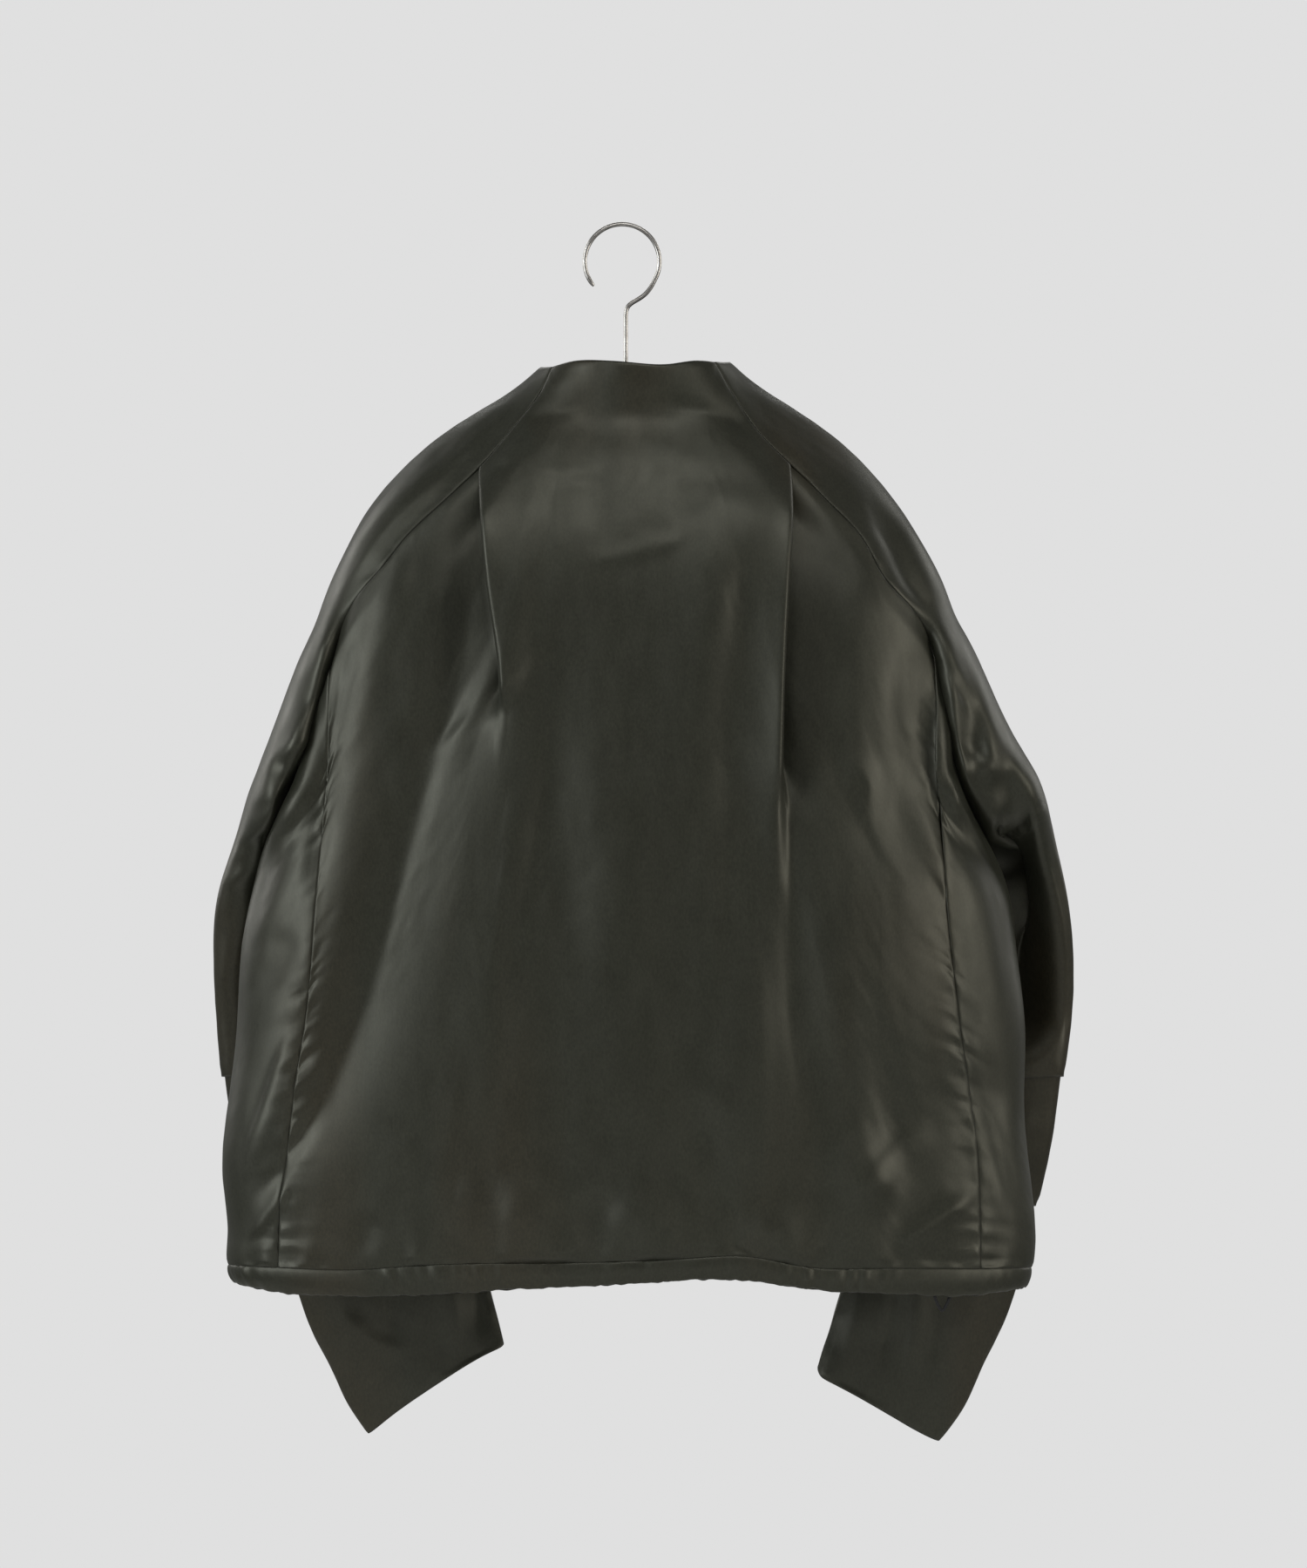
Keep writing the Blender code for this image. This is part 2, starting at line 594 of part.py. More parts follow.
def pleat_room(line):
    """Extra room beside the raglan seams for the pleats' stacked layers."""
    lift = body_surface(line[:, 0], -line[:, 2], -1) - line[:, 1]
    room = PLEAT_ROOM * np.clip(lift - seam_lift(line[:, 0]), 0, None)
    for _, begin in PLEATS:
        room = room + PLEAT_CORNER * (1 - smooth_step(np.abs(line[:, 0] - begin), PLEAT_ZONE,
                                                       PLEAT_ZONE + PLEAT_CORNER_REACH))
    return room


def casing_grid(panels):
    """The hem casing hangs from the lower edges of all the panels and follows their points."""
    ring = [panels[name][-1] for name in ("front_left", "side_left", "back", "side_right", "front_right")]
    line = np.vstack([ring[0]] + [part[1:] for part in ring[1:]])
    drop = -line[:, 2]
    centre, _ = ring_centre(drop)
    side = np.where(line[:, 0] < centre, -1, 1)
    turn = ring_turn(line[:, 0], drop) * np.where(line[:, 1] < 0, -1, 1)
    rows = [line]
    for share in (0.5, 1.0):
        low = drop + (HEM_EDGE("drop", line[:, 0]) - drop) * share
        x, y = ring_point(side, turn, low)
        rows.append(np.column_stack((x, y, -low)))
    return np.array(rows)


def placket_grid(panels):
    """The fly strip lies on the fronts: their columns beside the middle, moved out."""
    whole = np.hstack((panels["front_right"][:, -3:], panels["front_left"][:, 1:3]))
    grid = whole + grid_normals(whole) * PLACKET_LIFT
    draw_in(grid, "bottom", 1.0)
    return grid


def build_jacket(collection):
    """Columns of every panel run the same way round the jacket, so that their faces look outwards."""
    front_left, front_right = front_panels()
    grids = {"back": back_panel(), "front_left": front_left[:, ::-1].copy(),
             "front_right": front_right[:, ::-1].copy()}
    for side in (-1, 1):
        panel = side_panel(side)
        grids.update(sleeve_grids(side, panel[0]))
        grids[f"side_{SIDE_NAME[side]}"] = panel[:, ::-1].copy() if side < 0 else panel
    placket = placket_grid(grids)
    grids["hem_casing"] = casing_grid(grids)
    for (name, edge), inset in seam_insets(grids).items():
        if (name, edge) == ("back", "top"):
            inset = inset + pleat_room(grids["back"][0])
        draw_in(grids[name], edge, inset)
    for name, grid in grids.items():
        casing = name == "hem_casing"
        cloth(name, grid, collection, OLIVE_DARK if casing else OLIVE, CASING_WALL if casing else WALL)
    cloth("placket", placket, collection, OLIVE_DARK)


# ---- hanger, hook and cord ----

def tube(name, points, radii, collection, finish, sides=2):
    """A bar or wire as a curve with filled caps, through points in millimetres."""
    curve = bpy.data.curves.new(name, "CURVE")
    curve.dimensions = "3D"
    curve.bevel_depth = MM
    curve.bevel_resolution = sides
    curve.use_fill_caps = True
    spline = curve.splines.new("POLY")
    spline.points.add(len(points) - 1)
    for point, (x, y, z), radius in zip(spline.points, points, radii):
        point.co = (x * MM, y * MM, z * MM, 1)
        point.radius = radius
    curve.materials.append(finish)
    made = bpy.data.objects.new(name, curve)
    collection.objects.link(made)
    return made


def shoulder_drop(x):
    """The drop of the jacket's outline at a place along the shoulders."""
    drops = np.linspace(BODY.first[0], 260, 300)
    left, right = BODY("left", drops), BODY("right", drops)
    return np.where(x < 0, np.interp(-x, -left, drops), np.interp(x, right, drops))


def build_hanger(collection):
    """The bar's top follows the inside of the shoulders, and runs on to a low bow at the neck."""
    low, high = HANGER_ENDS
    turns = np.linspace(HANGER_END_TURN, math.pi / 2, HANGER_END_STEPS)
    round_end = HANGER_ROUND_END * (1 - np.cos(turns))
    straight = np.linspace(low + 2 * HANGER_ROUND_END, high - 2 * HANGER_ROUND_END, HANGER_STEPS)
    x = np.concatenate((low + round_end, straight, high - round_end[::-1]))
    side_x = np.where(x < 0, x / low, x / high)
    seat = shoulder_drop(x) + HANGER_SEAT
    bow = HANGER_TOP_DROP + HANGER_BOW * side_x ** 2
    top = bow + (seat - bow) * smooth_step(side_x, *HANGER_RISE)
    slope = np.gradient(top, x)
    swell = smooth_step(side_x, *HANGER_SWELL)
    radius = HANGER_NECK_RADIUS + (HANGER_SHOULDER_RADIUS - HANGER_NECK_RADIUS) * swell
    end = np.minimum(x - low, high - x) / HANGER_ROUND_END
    radius = radius * np.sqrt(1 - (1 - np.clip(end, 0, 1)) ** 2)
    middle = top + radius * np.sqrt(1 + slope ** 2)
    points = np.column_stack((x, np.zeros_like(x), -middle))
    tube("hanger", points, radius, collection, material("hanger_bar", WOOD, 0.5), 3)


def build_hook(collection):
    """The wire runs from its tip over the bowl, and through a bend down to the bar."""
    turns = np.radians(np.linspace(HOOK_TIP_ANGLE, HOOK_LEAVE_ANGLE, 21))
    centre_z = WIRE_DIAMETER / 2 - HOOK_BOWL_RADIUS
    bowl = HOOK_BOWL_RADIUS * np.column_stack((np.cos(turns), np.zeros_like(turns), np.sin(turns)))
    neck = [(x, 0, -drop) for x, drop in HOOK_NECK]
    points = np.vstack((bowl + (0, 0, centre_z), neck))
    radii = [WIRE_DIAMETER / 2] * len(points)
    tube("hook", points, radii, collection, material("steel_wire", STEEL, 0.3, 1.0))


def build_drawcord_loop(collection):
    points = [(x, LOOP_INSIDE - ring_depth(x, LOOP_LEVEL, -1), -drop) for x, drop in LOOP_SPREAD]
    radii = [CORD_DIAMETER / 2] * len(points)
    tube("drawcord_loop", points, radii, collection, material("black_cord", BLACK, 0.8))


def main():
    for old in list(bpy.data.objects):
        bpy.data.objects.remove(old, do_unlink=True)
    collection = bpy.data.collections.new(COLLECTION_NAME)
    bpy.context.scene.collection.children.link(collection)
    build_jacket(collection)
    build_hanger(collection)
    build_hook(collection)
    build_drawcord_loop(collection)


main()
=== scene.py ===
"""Looks of the field jacket on its hanger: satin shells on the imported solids' form, with their folds.

The jacket hangs with its back to -Y. Sizes are millimetres from the inner top of the hook, as in the part's
source: x to the right, "drop" downwards, y towards the jacket's front. MM turns them into metres.
"""

import math
from collections import namedtuple
from functools import cached_property

import bpy
import numpy as np
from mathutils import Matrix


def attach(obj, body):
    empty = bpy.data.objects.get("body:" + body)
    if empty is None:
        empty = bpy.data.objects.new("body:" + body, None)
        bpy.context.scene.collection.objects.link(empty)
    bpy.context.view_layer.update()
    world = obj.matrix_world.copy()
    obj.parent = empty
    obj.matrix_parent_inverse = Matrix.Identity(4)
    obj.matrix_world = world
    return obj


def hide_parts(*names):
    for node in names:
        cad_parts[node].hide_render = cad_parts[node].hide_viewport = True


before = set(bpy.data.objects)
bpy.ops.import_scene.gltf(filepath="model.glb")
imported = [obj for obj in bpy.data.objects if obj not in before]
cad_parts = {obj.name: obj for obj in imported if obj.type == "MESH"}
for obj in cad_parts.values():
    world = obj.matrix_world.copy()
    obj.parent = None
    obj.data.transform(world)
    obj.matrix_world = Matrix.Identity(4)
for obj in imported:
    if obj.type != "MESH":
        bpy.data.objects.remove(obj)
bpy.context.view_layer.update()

MM = 0.001
BODY_NAME = "root"

# ---- camera: level, square to the jacket's back ----
PIXEL = 0.70                    # one pixel of the photograph, at the hook
PHOTO_WIDTH = 1500
PHOTO_CENTRE = (25.2, 448.0)    # x and drop at the middle of the photograph
CAMERA_DISTANCE = 8.0
CAMERA_REACH = 60.0
SENSOR = 36.0

# ---- cloth ----
SHELL = 0.9
CASING_SHELL = 1.4
STEP = 3.4                      # between the points of a shell
SEAM_ROLL = ((0.0, 1.0), (0.7, 0.45), (1.8, 0.12), (3.6, 0.0))   # distance from a seam, and the turn into it
ROLL_ROWS = (0.7, 1.8)          # distances from a seam where a shell has points of its own for that turn
SEAM_SHADE = 0.8                # half width of the dark line along a seam
COLLAR_POINTS = 40
PLACKET_COLUMNS = 8             # of each front, under the placket
PLACKET_RELAXING = 6

# the lengths that the points of the shells are counted on
BODY_RUN = 600.0
SIDE_RUN = 440.0
SIDE_GIRTH = 190.0
SLEEVE_GIRTH = 170.0
CASING_RUN = 22.0
CASING_STEP = 1.8

# ---- the part's own sizes ----
ARMPIT_DROP = 436.0
CASING_DROP = 836.0
ARMHOLE_BEND = 1.6
SLEEVE_LEAVES = (285.0, 350.0)  # drops between which the sleeve leaves the body's own section
LEAST_BULGE = 1.002             # of the sleeve, as a share of its seam's depth
PLACKET_LIFT = 2.4
BODY_CLEARANCE = 2.0            # between the body and the sleeve
CLEARANCE_RAMP = (-5.0, 70.0)   # down from the armpit, where that clearance grows from nothing
PUSH_SOFTNESS = 0.006
HEM_EASE = 50.0                 # down from the hem, where the body stops pushing the sleeve away
SIDE_NAME = {-1: "left", 1: "right"}
FACE_NAME = {-1: "back", 1: "front"}

# the valley between side panel and sleeve, brought towards the back
ARMHOLE_FILL = 32.0
ARMHOLE_FILL_WIDTH = 17.0
ARMHOLE_FILL_DROPS = ((325, 425), (455, 520))   # where it grows, and where it ends
ARMHOLE_FILL_FADE = (-12.0, 45.0)               # the depths between which it dies out towards the front

# knife pleats: each row slides by PLEAT_SLIDE within PLEAT_ZONE of the pleat's middle column
PLEAT_ZONE = 24.0
PLEAT_SLIDE = 18.0
PLEAT_FOLD_AT = 8.65
PLEAT_FOLD_LENGTH = 2.5
PLEAT_LAYER = 3.4
PLEAT_REACH = (40.0, 90.0)      # from the middle column, where the lift of the layers dies out
PLEAT_STEP = 1.3                # between the columns of a pleat
PLEAT_DROPS = {-1: (300.0, 450.0), 1: (330.0, 560.0)}   # from where a pleat opens, to its end
PLEAT_UNFOLDED = (0.36, 0.62)   # the fades between which a pleat's layers open into one soft step
PLEAT_SOFTNESS = {-1: (1.5, 22.0), 1: (1.5, 6.0)}       # half width of that step, at the fold and at the end
PLEAT_OPENING = 1.5             # above 1, the step stays crisp for longer on its way down
PLEAT_LINE_REACH = (45.0, 110.0)                        # beside a pleat, where the columns bend less with it
PLEAT_LINE_BEGIN = 40.0
PLEAT_LINE_DROPS = (420, 560)   # where the columns go back from the pleat's line to their own
PLEAT_KEEPS_LINE = (28, 90)     # from the middle column, where an open pleat stops holding its edge in line
PLEAT_STANDS = ((5.0, 40.0), (6.0, 18.0))   # height and reach of the rise towards a pleat's edge
PLEAT_SINK = (11.0, 30.0)                   # and of the hollow beside it
PLEAT_OPEN_DRAPE = {-1: 0.5, 1: 0.48}       # share of both that is left where the pleat has opened
PLEAT_DRAPE_DROPS = {-1: (330.0, 500.0), 1: (400.0, 680.0)}
PLEAT_DRAPE_BEGIN = (3.0, 45.0)             # below the back's upper edge

TUCK_STEP = 3.0                 # a lower length of a sleeve is narrower, so that the one above laps over it
TUCK_CLEARANCE = 1.8            # of that step, as more room to the body
TUCK_FLATTENING = 1.25          # of that step, off the sleeve's depth

HANGER_ENDS = (-187.0, 209.0)
HANGER_TOP_DROP = 138.0
HANGER_BOW = 61.0
HANGER_NECK_RADIUS = 8.0
HANGER_SHOULDER_RADIUS = 15.0
HANGER_ROUND_END = 14.0
HANGER_END_POINTS = 12
HANGER_POINTS = 70
HANGER_SEAT = 2.8
HANGER_RISE = (0.7, 0.95)
HANGER_SWELL = (0.1, 0.75)
SHOULDER_END_DROP = 260.0
WIRE_DIAMETER = 3.7
HOOK_BOWL_RADIUS = 30.0
HOOK_TIP_ANGLE = 221.0
HOOK_TIP_SHARES = (0.55, 0.85, 0.97)    # of the wire's radius, at its first points
HOOK_LEAVE_ANGLE = -24.0
HOOK_POINTS = 60                # of the bowl, and of the neck below it
HOOK_NECK = ((24.6, 46.0), (20.4, 52.4), (14.6, 57.4), (8.6, 61.0), (4.6, 64.6), (3.1, 69.6), (2.9, 76.0),
             (2.9, 104.0), (2.9, 137.6))
CORD_DIAMETER = 2.6
LOOP_SPREAD = (
    (250.2, 846.0), (250.0, 852.0), (250.6, 858.0), (252.4, 863.4), (254.8, 868.4), (257.2, 871.0),
    (259.6, 868.4), (262.0, 863.4), (263.8, 858.0), (264.4, 852.0), (264.2, 846.0),
)
LOOP_INSIDE = 3.9
LOOP_LEVEL = 860.0
LOOP_POINTS = 41

# ---- colours, as linear values ----
OLIVE_GREEN = (0.0190, 0.0200, 0.0136)
OLIVE_BROWN = (0.0238, 0.0204, 0.0123)
OLIVE_SHADE = (0.0118, 0.0120, 0.0083)
# dark of the stitched seam lines; also the painted shade on the shells' rims
SEAM_DARK_AND_RIM_SHADE = (0.006, 0.006, 0.005)
BLACK = (0.006, 0.006, 0.0065)
WORN_BLACK = (0.012, 0.012, 0.013)
STEEL = (0.62, 0.60, 0.57)
DULL_STEEL = (0.48, 0.46, 0.43)
WOOD = (0.30, 0.19, 0.10)
DARK_WOOD = (0.20, 0.115, 0.055)
PALE_WOOD = (0.38, 0.25, 0.14)
BACKGROUND = (0.745, 0.745, 0.745)
FLOOR = (0.80, 0.80, 0.80)


class Table:
    """Rows of named columns, each read as a smooth curve (natural cubic spline) along the first."""

    def __init__(self, names, rows):
        values = np.array(rows, dtype=float).T
        self.first = values[0]
        self.columns = dict(zip(names.split(), values))
        self.bends = {name: self.spline_bends(column) for name, column in self.columns.items()}

    def spline_bends(self, column):
        count = len(self.first)
        step = np.diff(self.first)
        system = np.eye(count)
        target = np.zeros(count)
        for i in range(1, count - 1):
            system[i, i - 1:i + 2] = step[i - 1], 2 * (step[i - 1] + step[i]), step[i]
            rise = (column[i + 1] - column[i]) / step[i] - (column[i] - column[i - 1]) / step[i - 1]
            target[i] = 6 * rise
        return np.linalg.solve(system, target)

    def __call__(self, name, at):
        at = np.clip(at, self.first[0], self.first[-1])
        column, bends = self.columns[name], self.bends[name]
        i = np.clip(np.searchsorted(self.first, at) - 1, 0, len(self.first) - 2)
        step = self.first[i + 1] - self.first[i]
        low = (self.first[i + 1] - at) / step
        high = 1 - low
        curve = (low ** 3 - low) * bends[i] + (high ** 3 - high) * bends[i + 1]
        return low * column[i] + high * column[i + 1] + curve * step ** 2 / 6


# The body's level sections. Above the armpit its edges are the jacket's outline, sleeves included.
BODY = Table("drop left right back front squareness", (
    (104, -59, 82, 56, 53, 2.00),
    (115, -67, 92, 58, 55, 2.00),
    (125, -78, 103, 61, 57, 2.00),
    (135, -90, 117, 64, 59, 2.00),
    (153, -120, 145, 70, 63, 2.02),
    (175, -152, 175, 77, 67, 2.05),
    (201, -181, 202, 83, 71, 2.10),
    (228, -204, 224, 88, 74, 2.15),
    (257, -220, 242, 92, 76, 2.20),
    (300, -239, 262, 96, 78, 2.30),
    (350, -248, 263, 98, 79, 2.36),
    (400, -254, 264, 99, 79, 2.40),
    (437, -260, 268, 99, 78, 2.40),
    (483, -280, 286, 99, 77, 2.40),
    (530, -294, 307, 99, 76, 2.40),
    (576, -304, 315, 98, 75, 2.40),
    (645, -309, 323, 96, 73, 2.40),
    (707, -316, 322, 94, 71, 2.40),
    (763, -320, 327, 92, 70, 2.40),
    (812, -316, 331, 90, 69, 2.40),
    (836, -316, 329, 88, 68, 2.40),
    (862, -303, 322, 86, 67, 2.40),
))

# Raglan seams from the collar down to the side panel's point.
RAGLAN = {
    -1: Table("drop x", ((113, -55), (132, -67), (152, -84), (172, -100), (194, -118), (212, -136),
                         (230, -155), (250, -175), (270, -190), (292, -209), (318, -224), (347, -231.5))),
    1: Table("drop x", ((109, 73), (128, 86), (148, 101), (168, 116), (191, 138), (208, 155), (225, 171),
                        (244, 189), (262, 200), (284, 212), (308, 234), (335, 248))),
}
SIDE_SEAM = {
    -1: Table("drop x", ((347, -231.5), (408, -233), (469, -238), (535, -244), (622, -252),
                         (675, -260), (743, -270), (801, -276), (840, -277))),
    1: Table("drop x", ((335, 248), (415, 250.6), (474, 254), (553, 260), (637, 270),
                        (710, 281), (771, 287), (805, 288), (840, 288))),
}
COLLAR_BACK = Table("x drop", ((-55, 113), (-38, 108.4), (-18, 107.6), (2, 108.8), (21, 110.6),
                               (38, 110.6), (57, 108), (73, 109)))
COLLAR_FRONT = Table("x drop", ((-55, 113), (-36, 116), (-18, 118.5), (0, 120), (24, 118.5), (48, 114),
                                (73, 109)))
CASING_SEAM = Table("x drop", ((-320, 834), (-276, 836.5), (-215, 838.5), (-177, 836), (-52, 833),
                               (60, 829), (102, 828), (147, 836), (200, 837.5), (290, 837.5), (333, 836.5)))
HEM_EDGE = Table("x drop", ((-320, 848), (-290, 855.5), (-241, 859), (-177, 859), (-93, 854),
                            (2, 849.5), (102, 847), (156, 854), (227, 857.5), (299, 857.5), (333, 851)))
FLARE = Table("top bottom", ((-231.5, -277), (-141, -130), (-94, -84), (-55, -48), (0, 0),
                             (73, 64), (115, 107), (163, 155), (248, 288)))
PLEATS = ((-1, -109.5), (1, 131.0))
PLEAT_EDGE = 7.6                # from a pleat's middle column out to its visible edge
PLEAT_LINE = {
    -1: Table("drop x", ((190, -117.5), (240, -113), (283, -108.7), (333, -101.5), (367, -98.2), (430, -97),
                         (560, -112))),
    1: Table("drop x", ((190, 138), (224, 137.8), (266, 135), (308, 132.7), (367, 130), (417, 128.8),
                        (560, 126))),
}
SHOULDER = {
    -1: Table("drop x back front", ((300, -239, 52, 48), (329, -251, 56, 54), (360, -264, 60, 60),
                                    (386, -273, 62, 64), (412, -283, 62, 67), (436, -292, 60, 69))),
    1: Table("drop x back front", ((300, 262, 52, 48), (328, 279, 56, 54), (353, 289, 60, 60),
                                   (378, 298, 63, 64), (399, 307, 64, 67), (436, 331, 60, 69))),
}
SLEEVE_COLUMNS = "drop outer_x outer_y inner_drop inner_x inner_y back front"
SLEEVE = {
    -1: Table(SLEEVE_COLUMNS, (
        (436, -292, 0, 436, -260, 0, 60, 69),
        (460, -301, 4, 460, -266, 26, 52, 64),
        (485, -308, 10, 485, -256, 48, 46, 60),
        (530, -324, 22, 530, -232, 70, 36, 52),
        (589, -329, 38, 589, -196, 86, 28, 42),
        (652, -325, 51, 652, -166, 94, 26, 36),
        (683, -322, 56, 690, -154, 95, 25, 33),
        (740, -311, 64, 745, -134, 95, 24, 30),
        (787, -296, 70, 790, -119, 95, 23, 28),
        (820, -281, 75, 812, -109, 95, 22, 26),
        (857, -265, 80, 838, -103, 94, 20, 23),
        (891, -253, 82, 857, -99, 93, 19, 21),
        (921, -238, 84, 873, -95, 92, 17, 19),
        (947, -227, 85, 886, -92, 91, 16, 17),
        (974, -209, 86, 896, -90, 90, 15, 15),
    )),
    1: Table(SLEEVE_COLUMNS, (
        (436, 331, 0, 436, 268, 0, 60, 69),
        (458, 340, 4, 458, 270, 24, 54, 65),
        (479, 345, 9, 479, 263, 44, 48, 62),
        (530, 357, 20, 530, 242, 66, 36, 52),
        (589, 363.5, 36, 589, 220, 86, 28, 42),
        (640, 361, 48, 640, 203, 93, 26, 36),
        (683, 355, 55, 690, 193, 94, 25, 33),
        (740, 346, 63, 745, 183, 94, 24, 30),
        (787, 335.5, 70, 790, 178, 94, 23, 28),
        (820, 329, 75, 818, 175, 94, 22, 26),
        (857, 320, 80, 845, 172, 94, 20, 23),
        (891, 307, 82, 866, 166, 93, 19, 21),
        (921, 293, 84, 884, 161, 92, 17, 19),
        (950, 281, 85, 899, 156, 91, 16, 17),
        (980, 260, 86, 913, 152, 90, 15, 15),
    )),
}
# How far the cuff's edge hangs below its straight line, from the outer end (0) to the inner end (1).
CUFF_EDGE = {
    -1: Table("share down", ((0, -1.0), (0.12, -0.5), (0.3, -3.0), (0.5, -4.0), (0.75, -2.5), (0.93, -0.5),
                             (1, -2.0))),
    1: Table("share down", ((0, -1.5), (0.1, 0.0), (0.3, 2.5), (0.55, 4.0), (0.8, 6.5), (0.93, 5.0),
                            (1, 0.0))),
}
CUFF_BEGIN = 0.45               # share of the lowest length from which the edge is let down so
SLEEVE_LENGTHS = {
    side: {"upper": (ARMPIT_DROP, 683), "middle": (671, 787), "lower": (775, cuff)}
    for side, cuff in ((-1, 974), (1, 980))
}

# ---- folds ----
# A ridge (height > 0) or trough along a smooth line of (x, drop) points. Its half width and height are
# full between the two shares of its run in "ends"; "lean" widens its right side and narrows its left one,
# and a "power" near 1 makes its line crisp, where 2 makes it round.
Fold = namedtuple("Fold", "line half_width height lean ends power", defaults=(0.0, (0.3, 0.6), 2.0))
FOLD_POINTS = 24
FOLD_REACH = 3                  # half widths within which a fold is worked out
FOLD_END_WIDTH = 0.6            # share of its half width that a fold has at both ends
FOLD_OVERRUN = 0.02             # share of its run that a fold goes on past both ends
CRISP_ROUNDING = 0.12           # half widths over which the line of a crisp fold is rounded


def mirrored(*folds):
    """The same folds for both sides, from the right one's."""
    return {side: [fold._replace(line=[(side * x, drop) for x, drop in fold.line]) for fold in folds]
            for side in SIDE_NAME}


BACK_FOLDS = (
    # left of the middle: the valley that falls from the left pleat, and the ridges on both sides of it
    Fold(((-114, 243), (-122, 290), (-136, 364), (-156, 441), (-178, 519), (-199, 596), (-227, 673),
          (-245, 725), (-258, 756)), 29, -10.0, 0.1, (0.2, 0.75), 1.15),
    Fold(((-196, 270), (-202, 370), (-208, 470), (-220, 560), (-236, 640)), 14, 1.6),
    Fold(((-214, 270), (-228, 340), (-236, 430), (-240, 520), (-250, 620), (-268, 740)), 32, 6.0, 0.0,
         (0.2, 0.7)),
    Fold(((-50, 230), (-56, 380), (-60, 520), (-64, 640)), 26, -2.4),
    # pinches where the left pleat is caught
    Fold(((-113, 190), (-98, 184), (-84, 192)), 3.0, 1.1),
    Fold(((-108, 198), (-92, 194), (-70, 200)), 3.2, -1.0),
    Fold(((-83, 196), (-40, 198), (5, 194)), 5.5, 0.7),
    # yoke: a dark hollow under the collar, then a lit swell from seam to seam
    Fold(((-112, 190), (-20, 184), (60, 184), (134, 194)), 18, 1.4, 0.3, (0.1, 0.9)),
    Fold(((-81, 154), (-40, 144), (-17, 135)), 6, -1.6, 0.0, (0.1, 0.4), 1.2),
    Fold(((104, 160), (70, 148), (19, 138)), 6, -1.6, 0.0, (0.1, 0.5), 1.2),
    Fold(((-10, 116), (14, 126), (40, 126)), 7, -0.8),
    # right pleat and the drapes that fall from it
    Fold(((130, 470), (130, 560), (136, 640), (146, 720)), 20, -3.4, 0.4, (0.4, 0.6), 1.3),
    Fold(((112, 232), (98, 300), (90, 434), (88, 540), (92, 640)), 20, -2.6, 0.25, (0.25, 0.5)),
    Fold(((118, 200), (88, 250), (66, 310), (54, 380), (50, 440)), 30, 3.4, -0.1, (0.15, 0.5)),
    Fold(((168, 300), (170, 400), (172, 500), (180, 620), (188, 720)), 34, 6.0, 0.0, (0.25, 0.7)),
    Fold(((-30, 272), (16, 262), (64, 246)), 6, 0.9, 0.3),
    Fold(((170, 240), (190, 300), (202, 400), (206, 520)), 24, 4.0),
    Fold(((169, 424), (196, 446), (186, 486)), 8, 1.5, 0.4),
    Fold(((224, 350), (228, 410), (222, 470)), 12, -1.4),
    Fold(((232, 270), (244, 340), (249, 430), (254, 520), (266, 620), (282, 740)), 32, 4.0, 0.0, (0.2, 0.7)),
    # broad soft bands down the middle
    Fold(((-40, 420), (-44, 560), (-52, 700), (-60, 800)), 26, -2.2, 0.0, (0.3, 0.6)),
    Fold(((-4, 380), (0, 520), (2, 680), (4, 810)), 24, 1.4),
    Fold(((40, 470), (46, 620), (52, 780)), 20, -1.8),
    Fold(((104, 560), (108, 680), (106, 800)), 17, 2.4, -0.3),
    Fold(((150, 520), (160, 660), (174, 800)), 22, -2.6),
    Fold(((208, 480), (222, 620), (232, 730)), 24, 3.6),
    # above the hem
    Fold(((252, 716), (222, 744), (182, 784)), 12, 2.6, 0.3),
    Fold(((288, 774), (256, 796), (216, 824)), 9, 4.4, 0.0, (0.3, 0.6), 1.3),
    Fold(((-120, 760), (-128, 800), (-140, 834)), 17, 2.4),
    Fold(((-92, 750), (-74, 796), (-52, 844)), 27, 6.4, 0.0, (0.45, 0.85)),
    Fold(((-26, 770), (-18, 806), (-12, 838)), 17, -2.6),
    Fold(((0, 764), (18, 804), (38, 844)), 24, 5.0, 0.0, (0.45, 0.85)),
    Fold(((58, 690), (74, 770), (86, 834)), 16, -3.0),
    Fold(((91, 780), (91, 806), (91, 836)), 7, -2.4, 0.0, (0.7, 0.95), 1.3),
    Fold(((106, 778), (122, 810), (142, 844)), 19, 4.6, 0.2, (0.45, 0.85)),
    Fold(((180, 724), (200, 762), (222, 798)), 20, 4.4, -0.1),
    Fold(((-200, 790), (-206, 812), (-214, 834)), 9, -1.6),
    # left side panel and the cloth beside its seam
    Fold(((-228, 392), (-240, 470), (-246, 560)), 8, -2.2, 0.2),
    Fold(((-262, 640), (-284, 710), (-306, 770)), 9, 4.6, 0.3),
    Fold(((-240, 700), (-268, 748), (-300, 790)), 7, -2.4),
    Fold(((-268, 770), (-284, 794), (-302, 816)), 5, 2.4),
    Fold(((-236, 660), (-258, 690), (-276, 704)), 6, 1.8),
    Fold(((-262, 560), (-280, 600), (-300, 622)), 10, -2.2),
    Fold(((-250, 480), (-272, 540), (-296, 580)), 10, 2.2),
    # right side panel and the cloth beside its seam
    Fold(((250, 360), (254, 420), (248, 476)), 6, 2.2, 0.3),
    Fold(((262, 400), (270, 470), (290, 540)), 9, -2.2),
    Fold(((268, 470), (288, 560), (306, 640)), 10, 2.6),
    Fold(((272, 610), (296, 690), (318, 740)), 11, -2.4),
    Fold(((284, 700), (300, 770), (318, 812)), 9, 2.2),
)
